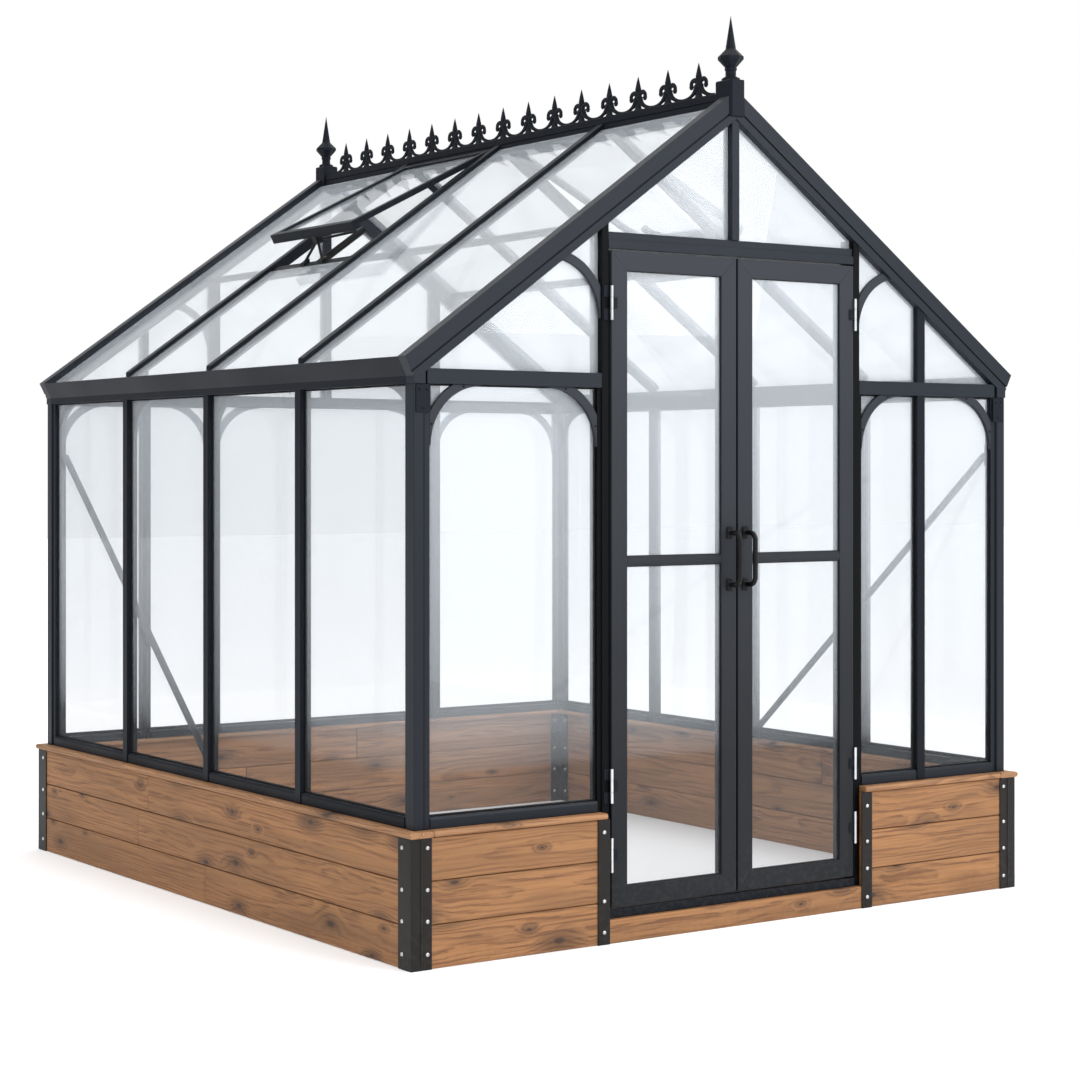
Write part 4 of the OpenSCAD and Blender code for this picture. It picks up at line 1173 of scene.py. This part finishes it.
    def build_pull(self) -> None:
        """Bent rod with a foot ring and a screwed tab at each end."""
        parts = [tube(self.pull_path(), self.pull_radius, ALONG_X, 20)]
        outline = rounded_outline(self.tab_width, self.tab_height, self.tab_radius, 6)
        tab = slab(outline, self.tab_thick, self.tab_rim).moved(0, -self.tab_thick, 0)
        ring = revolve(np.array(self.foot), 20).turned(turn("x", 90))
        head = screw_head(self.tab_screw, self.tab_screw_rise, SMALL_HEAD)
        for z in (-self.pull_half, self.pull_half):
            parts += [tab.moved(0, 0, z), ring.moved(0, -self.tab_thick, z)]
            spots = [(0, -self.tab_thick, z + side * self.tab_screw_z) for side in SIDES]
            parts += Facing.FRONT.place(head, spots)
        whole = Surface.joined(parts).moved(self.pull_x, self.front, self.rail_z)
        put(self.hand(whole), self.name + "_pull", self.body, Slot.BLACK, SATIN_BLACK, self.name + "_handle")

    def build_hinge_screws(self) -> None:
        """Two small heads in the leaf plate of each hinge."""
        head = screw_head(self.hinge_screw, self.hinge_screw_rise, SMALL_HEAD)
        spots = [(self.hinge_screw_x, self.front - self.hinge_plate, z + side * self.hinge_screw_z)
                 for z in self.hinges for side in SIDES]
        screws = Surface.joined(Facing.FRONT.place(head, spots))
        put(self.hand(screws), self.name + "_hinge_screws", self.body, Slot.FRAME, CHARCOAL)

    def build(self) -> None:
        """Build all the pieces of the leaf."""
        self.build_frame()
        self.build_seals()
        self.build_pull()
        self.build_hinge_screws()


@dataclass
class DoorHinges:
    """Pinned hinges of both leaves: bright barrels in three knuckles on thin coated plates.

    They are worked out for the right-hand leaf, and the left ones are their mirror image.
    """

    x: float = 0.497
    y: float = -1.334
    post_face: float = -1.323
    low: float = 0.106
    high: float = 2.11
    shares: tuple[float, ...] = (0.08, 0.185, 0.92)
    length: float = 0.105
    radius: float = 0.005
    ease: float = 0.0009
    gap: float = 0.0005
    plate: float = 0.0025
    plate_radius: float = 0.0007
    plate_rim: float = 0.0004
    reach: float = 0.0233
    root: float = 0.0033
    root_in: float = 0.0005
    root_over: float = 0.001
    root_back: float = 0.002

    def spans(self, *parts: tuple[float, float]) -> list[tuple[float, float]]:
        """Heights of some parts of every hinge.

        Args:
            parts: low and high end of each part above the foot of its hinge.

        Returns:
            Low and high end of each part above the ground.
        """
        feet = [self.low + share * (self.high - self.low) - self.length / 2 for share in self.shares]
        return [(foot + a, foot + b) for foot in feet for a, b in parts]

    def knuckles(self, spans: list[tuple[float, float]]) -> Surface:
        """Turned barrels between low and high ends, with both rims rounded off.

        Args:
            spans: low and high end of each barrel.

        Returns:
            All the barrels on the hinge line.
        """
        r, e = self.radius, self.ease
        rim = np.array([[r - 2 * e, 0], [r - e / 3, e / 3], [r, e]])
        profiles = [np.concatenate([rim + (0, low), rim[::-1] * (1, -1) + (0, high)]) for low, high in spans]
        return Surface.joined([revolve(profile, 24).moved(self.x, self.y, 0) for profile in profiles])

    def strips(self, across: tuple[float, float], deep: tuple[float, float],
               spans: list[tuple[float, float]]) -> list[Surface]:
        """Flat plates with eased rims.

        Args:
            across: left and right edge along x.
            deep: front and back face along y.
            spans: low and high end of each plate.

        Returns:
            One plate for each span.
        """
        (x0, x1), (y0, y1) = across, deep
        outlines = [rounded_outline(x1 - x0, z1 - z0, self.plate_radius, 2) for z0, z1 in spans]
        return [slab(outline, y1 - y0, self.plate_rim).moved((x0 + x1) / 2, y0, (z0 + z1) / 2)
                for outline, (z0, z1) in zip(outlines, spans)]

    def build(self) -> None:
        """Build the outer knuckles on the posts and the middle ones on the leaves."""
        third = self.length / 3
        posts = self.spans((0, third - self.gap), (2 * third + self.gap, self.length))
        leaves = self.spans((third, 2 * third))
        face = (self.post_face - self.plate, self.post_face)
        wings = self.strips((self.x + self.root, self.x + self.reach), face, posts)
        roots = self.strips((self.x + self.root_in, self.x + self.root + self.root_over),
                            (self.y + self.root_back, self.post_face), posts)
        put(Surface.joined(doubled([self.knuckles(posts)], MIRROR_X)), "post_barrels", Body.HOUSE,
            Slot.SILVER, SILVER, "hinge_plates")
        put(Surface.joined(doubled(wings + roots, MIRROR_X)), "post_plates", Body.HOUSE, Slot.FRAME, CHARCOAL)
        barrels, back = self.knuckles(leaves), self.y + self.radius
        plates = Surface.joined(self.strips((self.x - self.reach, self.x), (back - self.plate, back), leaves))
        for body, matrix in ((Body.LEFT, MIRROR_X), (Body.RIGHT, np.eye(3))):
            name = body.value
            put(barrels.turned(matrix), name + "_barrels", body, Slot.SILVER, SILVER, name + "_hinges")
            put(plates.turned(matrix), name + "_plates", body, Slot.FRAME, CHARCOAL)


@dataclass
class RafterGrooveShade:
    """Painted shade: a dark strip at the bottom of the groove in each gable rafter, where the groove lies in
    shadow.
    """

    apex: float = 2.645
    rise: float = 0.8545 / 1.198
    low: float = 0.0507
    high: float = 0.0453
    start: float = 0.034
    end: float = 1.205
    face: float = -1.3226
    thick: float = 0.0009
    rim: float = 0.0002

    def build(self) -> None:
        """A plate along the slope; at x its height is apex - rise * x - depth * sqrt(1 + rise * rise)."""
        stretch = math.hypot(1.0, self.rise)
        a, b = self.start, self.end
        corners = ((a, self.low), (b, self.low), (b, self.high), (a, self.high))
        outline = np.array([[x, self.apex - self.rise * x - v * stretch] for x, v in corners])
        right = slab(outline, self.thick, self.rim).moved(0, self.face, 0)
        parts = doubled(doubled([right], MIRROR_X), HALF_TURN)
        put(Surface.joined(parts), "rafter_groove_shade", Body.HOUSE, Slot.BLACK, RUBBER)


@dataclass
class Cresting:
    """Row of cast fleurs on the ridge, with hanging arcs between them."""

    count: int = 15
    half: float = 1.259
    pitch: float = 0.162125
    low: float = 2.639
    height: float = 0.118
    thick: float = 0.009
    strip_height: float = 0.007
    strip_radius: float = 0.002
    strip_ease: float = 0.0005
    stem_flat: float = 0.36
    collar_flat: float = 0.4
    spear_flat: float = 0.42
    limb_flat: float = 0.6
    stem: tuple[tuple[float, float], ...] = ((0, 0.027), (0.012, 0.017), (0.03, 0.011), (0.048, 0.0095))
    collar_z: float = 0.050
    collar: tuple[tuple[float, float], ...] = (
        (-0.0105, 0.011), (-0.0095, 0.016), (-0.0065, 0.018),
        (-0.0015, 0.018), (0.0015, 0.016), (0.0025, 0.011))
    spear: tuple[float, ...] = (0.009, 0.0115, 0.016, 0.0085, 0.0008)
    spear_shares: tuple[float, ...] = (0, 0.12, 0.34, 0.7, 1)
    arm: float = 0.0155
    arm_out: float = 0.0235
    arm_flat: float = 0.9
    arm_turn: tuple[float, float] = (200, -25)
    arm_widths: tuple[float, ...] = (0.0095, 0.0085, 0.0075)
    knob: tuple[tuple[float, float], ...] = (
        (0.0003, -0.0105), (0.007, -0.008), (0.0105, 0), (0.007, 0.008), (0.0003, 0.0105))
    knob_flat: float = 0.55
    arc_clear: float = 0.018
    arc_flat: float = 0.6
    arc_turn: tuple[float, float] = (184, 356)
    arc_foot: float = 0.006
    arc_thin: float = 0.0052
    arc_swell: float = 0.0075

    def upright(self, rows: Array, count: int, flat: float) -> Surface:
        """Ellipses of the given half widths stacked on the fleur's middle line.

        Args:
            rows: height and half width of each ellipse.
            count: points round it.
            flat: its thickness as a share of its width.

        Returns:
            The stacked form.
        """
        z, width = np.asarray(rows).T
        return tube(np.stack([0 * z, 0 * z, z], -1), width, ALONG_X, count, flat)

    def fleur(self) -> Surface:
        """One fleur in the y, z plane: stem, collar, spear, two curling arms and their knobs.

        Each is an ellipse carried along a line: the half width of the spear swells to its
        belly and runs out to a point, and the arms follow five eighths of a flattened circle.

        Returns:
            The fleur on its middle line, its foot at z = 0.
        """
        stem = self.upright(self.stem, 12, self.stem_flat)
        collar = self.upright(np.array(self.collar) + (self.collar_z, 0), 12, self.collar_flat)
        t = np.linspace(0, 1, 9)
        z = self.collar_z + t * (self.height - self.collar_z)
        belly = np.interp(t, self.spear_shares, self.spear)
        spear = self.upright(np.stack([z, belly], -1), 8, self.spear_flat)
        a = np.radians(np.linspace(*self.arm_turn, 15))
        y, z = self.arm_out + self.arm * np.cos(a), self.collar_z + self.arm * self.arm_flat * np.sin(a)
        arm = np.stack([0 * a, y, z], -1)
        widths = np.interp(np.linspace(0, 1, len(a)), (0, 0.5, 1), self.arm_widths)
        curl = tube(arm, widths, ALONG_X, 8, self.limb_flat)
        ball = revolve(np.array(self.knob), 10)
        knob = ball.turned(np.diag([self.knob_flat, 1.0, 1.0])).moved(*arm[-1])
        return Surface.joined([stem, collar, spear, *doubled([curl, knob], MIRROR_Y)])

    def arcs(self) -> list[Surface]:
        """Hanging half ellipses from stem to stem, and half of one at each end of the row.

        Returns:
            The arcs along y, their feet near z = 0.
        """
        radius = (self.pitch - self.arc_clear) / 2
        a = np.radians(np.linspace(*self.arc_turn, 21))
        drop = radius * (1 + np.sin(a)) * self.arc_flat + self.arc_foot
        arc = np.stack([0 * a, radius * np.cos(a), drop], -1)
        wide = self.arc_thin + self.arc_swell * np.abs(np.cos(a)) ** 3
        middle = len(a) // 2
        whole, end = (tube(arc[i:], wide[i:], ALONG_X, 8, self.limb_flat) for i in (0, middle))
        places = (np.arange(self.count - 1) + 1 - self.count / 2) * self.pitch
        last = self.count / 2 * self.pitch
        return [whole.moved(0, y, 0) for y in places] + doubled([end.moved(0, -last, 0)], MIRROR_Y)

    def build(self) -> None:
        """Build strip, arcs and fleurs as one piece."""
        outline = rounded_outline(self.thick, self.strip_height, self.strip_radius)
        strip = bar(outline, 2 * self.half, self.strip_ease).moved(0, -self.half, self.strip_height / 2)
        fleur = self.fleur()
        places = (np.arange(self.count) - (self.count - 1) / 2) * self.pitch
        parts = [strip, *self.arcs(), *[fleur.moved(0, y, 0) for y in places]]
        put(Surface.joined(parts).moved(0, 0, self.low), "cast_cresting", Body.HOUSE, Slot.FRAME, CHARCOAL,
            "ridge_cresting")


@dataclass
class WallFittings:
    """Seals round the upright panes, joint plates, painted shade lines on the posts, and screws of the
    brackets.
    """

    face_x: float = 1.198
    face_y: float = 1.323
    glass_set: float = 0.02
    low: float = 0.434
    eave: float = 1.69
    bar_half: float = 0.0175
    corner: float = 0.058
    bay: float = 0.6325
    wing: float = 0.540
    gable_bar: float = 0.805
    arch: float = 0.179
    seal: float = 0.005
    seal_radius: float = 0.0018
    seal_out: float = 0.0022
    seal_in: float = 0.0062
    plate_width: float = 0.05
    plate_height: float = 0.082
    plate_radius: float = 0.004
    plate_thick: float = 0.0032
    plate_rim: float = 0.0008
    plate_out: float = 0.003
    plate_x: float = 0.031
    plate_drop: float = 0.043
    plate_screws: tuple[tuple[float, float], ...] = ((-0.013, 0.026), (0.013, 0.026), (0, -0.028))
    plate_screw: float = 0.009
    screw: float = 0.007
    screw_rise: float = 0.0024
    screw_foot: float = 0.0062
    screw_tip: float = 0.062
    gable_set: float = 0.006
    side_set: float = 0.040
    corner_set: float = 0.038
    web: float = 0.006
    line_width: float = 0.005
    line_radius: float = 0.001
    line_thick: float = 0.0008
    line_rim: float = 0.0002
    line_out: float = 0.0005
    line_x: float = 0.035
    line_foot: float = 0.035
    line_top: float = 0.086

    def side_bays(self) -> list[tuple[float, float]]:
        """Clear width of each pane of a long wall, from the front to the back."""
        end, b = self.face_y - self.corner, self.bar_half
        return [(-end, -self.bay - b), (b - self.bay, -b), (b, self.bay - b), (self.bay + b, end)]

    def gable_bays(self) -> list[tuple[float, float]]:
        """Clear width of each lower pane of a gable, seen from outside."""
        end, b = self.face_x - self.corner, self.bar_half
        return [(-end, -self.wing), (self.wing, self.gable_bar - b), (self.gable_bar + b, end)]

    def beads(self, bays: list[tuple[float, float]], deep: float) -> list[Surface]:
        """Soft beads round the panes of some bays, at one depth.

        Args:
            bays: clear width of each pane.
            deep: where the beads lie along y.

        Returns:
            The beads of a wall that looks along y.
        """
        bead = rounded_outline(self.seal, self.seal, self.seal_radius, 2) + (self.seal / 2, 0.0)
        rings = [mitred_frame(bead, bay, (self.low, self.eave), SEAL_SEAM) for bay in bays]
        return [member.moved(0, deep, 0) for ring in rings for member in ring]

    def seals(self) -> list[Surface]:
        """A soft bead in the angle between each pane and its bars, outside and inside.

        Returns:
            The beads of all four walls.
        """
        made = []
        for deep in (self.glass_set - self.seal_out, self.glass_set + self.seal_in):
            left = self.beads(self.side_bays(), deep - self.face_x)
            made += [member.turned(turn("z", -90)) for member in left]
            made += self.beads(self.gable_bays(), deep - self.face_y)
        return doubled(made, HALF_TURN)

    def plates(self) -> list[Surface]:
        """Joint plate where each corner post meets the rafter heel, with three screws.

        Returns:
            Four plates with their screws.
        """
        outline = rounded_outline(self.plate_width, self.plate_height, self.plate_radius, 3)
        plate = slab(outline, self.plate_thick, self.plate_rim)
        x, y, z = self.plate_x - self.face_x, -self.face_y - self.plate_out, self.eave - self.plate_drop
        head = screw_head(self.plate_screw, self.screw_rise, SMALL_HEAD)
        spots = [(x + across, y, z + up) for across, up in self.plate_screws]
        left = [plate.moved(x, y, z), *Facing.FRONT.place(head, spots)]
        return doubled(doubled(left, MIRROR_X), HALF_TURN)

    def bracket_screws(self) -> list[Surface]:
        """One head near each end of every arched bracket.

        Returns:
            The heads on both gables and both sides.
        """
        head = screw_head(self.screw, self.screw_rise, SMALL_HEAD)
        tip, foot = self.arch - self.screw_tip, self.screw_foot
        ends = ((foot, tip), (tip, foot))
        end, corner = self.face_x - self.corner, self.face_y - self.corner_set
        gable = [(-end, 1), (-self.wing, -1), (self.wing, 1), (end, -1)]
        y = self.gable_set - self.face_y
        made = Facing.FRONT.place(head, [(x + h * a, y, self.eave - b) for x, h in gable for a, b in ends])
        walls = [(corner, -1), (self.web, 1), (self.web - self.bay, 1), (-corner, 1)]
        x = self.side_set - self.face_x
        made += Facing.RIGHT.place(head, [(x, y + h * a, self.eave - b) for y, h in walls for a, b in ends])
        return doubled(made, HALF_TURN)

    def lines(self) -> list[Surface]:
        """Dark line up the gable face of each corner post, from the sill to the joint plate: painted shade of
        the groove in the post's face.

        Returns:
            One line for each post.
        """
        low, high = self.low - self.line_foot, self.eave - self.line_top
        outline = rounded_outline(self.line_width, high - low, self.line_radius, 2)
        line = slab(outline, self.line_thick, self.line_rim)
        left = line.moved(self.line_x - self.face_x, -self.face_y - self.line_out, (low + high) / 2)
        return doubled(doubled([left], MIRROR_X), HALF_TURN)

    def build(self) -> None:
        """Add the painted shade lines, seals, plates and screws to the house."""
        put(Surface.joined(self.lines()), "post_groove_shade", Body.HOUSE, Slot.BLACK, RUBBER)
        put(Surface.joined(self.seals()), "pane_seals", Body.HOUSE, Slot.BLACK, RUBBER)
        put(Surface.joined(self.plates()), "heel_plates", Body.HOUSE, Slot.FRAME, CHARCOAL)
        put(Surface.joined(self.bracket_screws()), "bracket_screws", Body.HOUSE, Slot.FRAME, CHARCOAL)


@dataclass
class PackedNodes:
    """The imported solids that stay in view: eased edges and their finishes."""

    ease: float = 0.0014
    steps: int = 2
    sharp: float = 34.0
    weld: float = 0.00001
    flat: float = 0.6
    plain: tuple[str, ...] = ("finials",)

    def finish_of(self) -> dict[str, Finish]:
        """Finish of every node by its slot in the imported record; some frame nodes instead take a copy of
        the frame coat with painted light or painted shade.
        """
        found = {row["node"]: NODE_FINISH[Slot(row["material_slot"])] for row in frame["record"]["subparts"]}
        return found | NODE_COATS

    def soften(self, node: bpy.types.Object) -> None:
        """Weld the loose triangles, join the flat ones and ease the edges.

        Args:
            node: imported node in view.
        """
        node.modifiers.new("weld", "WELD").merge_threshold = self.weld
        flat = node.modifiers.new("flat", "DECIMATE")
        flat.decimate_type = "DISSOLVE"
        flat.angle_limit = math.radians(self.flat)
        edge = node.modifiers.new("ease", "BEVEL")
        edge.width, edge.segments = self.ease, self.steps
        edge.limit_method, edge.angle_limit = "ANGLE", math.radians(self.sharp)

    def build(self) -> None:
        """Ease the edges of coated metal and give every node in view its finish."""
        for name, finish in self.finish_of().items():
            node = frame["nodes"][name]
            if node.hide_render:
                continue
            node.data.materials.clear()
            node.data.materials.append(finish.material())
            if isinstance(finish, Coated) and name not in self.plain:
                self.soften(node)
            LOG.info("%s: packed solid in %s", name, finish.name)


@dataclass(frozen=True)
class SoftBox:
    """A square soft light: its place, the point it looks at, its edge length and its power."""

    name: str
    place: tuple[float, float, float]
    target: tuple[float, float, float]
    size: float
    watts: float

    def build(self) -> None:
        """Hang the light and turn it to its target."""
        data = bpy.data.lights.new(self.name, "AREA")
        data.size, data.energy = self.size, self.watts
        lamp = bpy.data.objects.new(self.name, data)
        lamp.location = self.place
        away = Vector(self.target) - Vector(self.place)
        lamp.rotation_euler = away.to_track_quat("-Z", "Y").to_euler()
        bpy.context.scene.collection.objects.link(lamp)


@dataclass
class Studio:
    """Pale floor, soft light and the camera."""

    eye: tuple[float, float, float] = (-4.769, -7.106, 1.436)
    yaw: float = -34.76
    lens: float = 78.58
    sensor: float = 36.0
    shift: float = -0.0636
    far: float = 200.0
    floor_half: float = 40.0
    white: float = 1.0
    bright_x: float = 0.75
    bright_y: float = -0.6
    turn_range: tuple[float, float] = (-0.9, 0.9)
    dim: float = 0.34
    lit: float = 0.78
    overhead: float = 1.25
    key: SoftBox = SoftBox("key", (2.6, -7.4, 4.6), (0, 0, 1.0), 5.0, 300.0)
    side: SoftBox = SoftBox("side", (-7.0, -1.5, 4.2), (0, 0, 0.8), 5.0, 33.0)

    def floor(self) -> None:
        """Flat square of ground."""
        h = self.floor_half
        corners = np.array([[-h, -h, 0], [h, -h, 0], [h, h, 0], [-h, h, 0]])
        mesh = bpy.data.meshes.new("ground")
        mesh.from_pydata(corners.tolist(), [], [[0, 1, 2, 3]])
        mesh.materials.append(PALE.material())
        ground = bpy.data.objects.new("ground", mesh)
        bpy.context.scene.collection.objects.link(ground)

    def sky(self) -> None:
        """White to the eye; as a light it is brightest overhead and dimmest behind on the left."""
        world = bpy.data.worlds.new("studio")
        bpy.context.scene.world = world
        world.use_nodes = True
        g = Graph(world.node_tree)
        world.node_tree.nodes.clear()
        way = g.separate(g.node("ShaderNodeTexCoord").outputs["Generated"])
        side = g.maths("MULTIPLY_ADD", way[0], self.bright_x, g.maths("MULTIPLY", way[1], self.bright_y))
        ring = g.spread(side, *self.turn_range, self.dim, self.lit)
        glow = g.maths("MULTIPLY_ADD", g.maths("MAXIMUM", way[2], 0.0), self.overhead, ring)
        path = g.node("ShaderNodeLightPath")
        seen = g.maths("MAXIMUM", path.outputs["Is Camera Ray"], path.outputs["Is Transmission Ray"])
        strength = g.node("ShaderNodeMix", {0: seen, 2: glow, 3: self.white}).outputs[0]
        sky = g.node("ShaderNodeBackground", {"Color": (1.0, 1.0, 1.0, 1.0), "Strength": strength})
        g.node("ShaderNodeOutputWorld", {0: sky.outputs[0]})

    def camera(self) -> None:
        """Level camera at the picture's place and heading."""
        data = bpy.data.cameras.new("camera")
        data.lens, data.sensor_width, data.shift_y = self.lens, self.sensor, self.shift
        data.clip_end = self.far
        camera = bpy.data.objects.new("camera", data)
        camera.location = self.eye
        camera.rotation_euler = (math.pi / 2, 0.0, math.radians(self.yaw))
        bpy.context.scene.collection.objects.link(camera)
        bpy.context.scene.camera = camera

    def build(self) -> None:
        """Set up floor, sky, lamps and camera."""
        self.floor()
        self.sky()
        self.key.build()
        self.side.build()
        self.camera()
        bpy.context.scene.view_settings.view_transform = "Standard"


def main() -> None:
    """Build every sub-assembly in order."""
    logging.basicConfig(level=logging.INFO, format="%(name)s %(message)s")
    TimberBase().build()
    BaseIronwork().build()
    DoorLeaf(Body.LEFT, "left_door").build()
    DoorLeaf(Body.RIGHT, "right_door").build()
    DoorHinges().build()
    RafterGrooveShade().build()
    Cresting().build()
    WallFittings().build()
    PackedNodes().build()
    Studio().build()


if __name__ == "__main__":
    main()
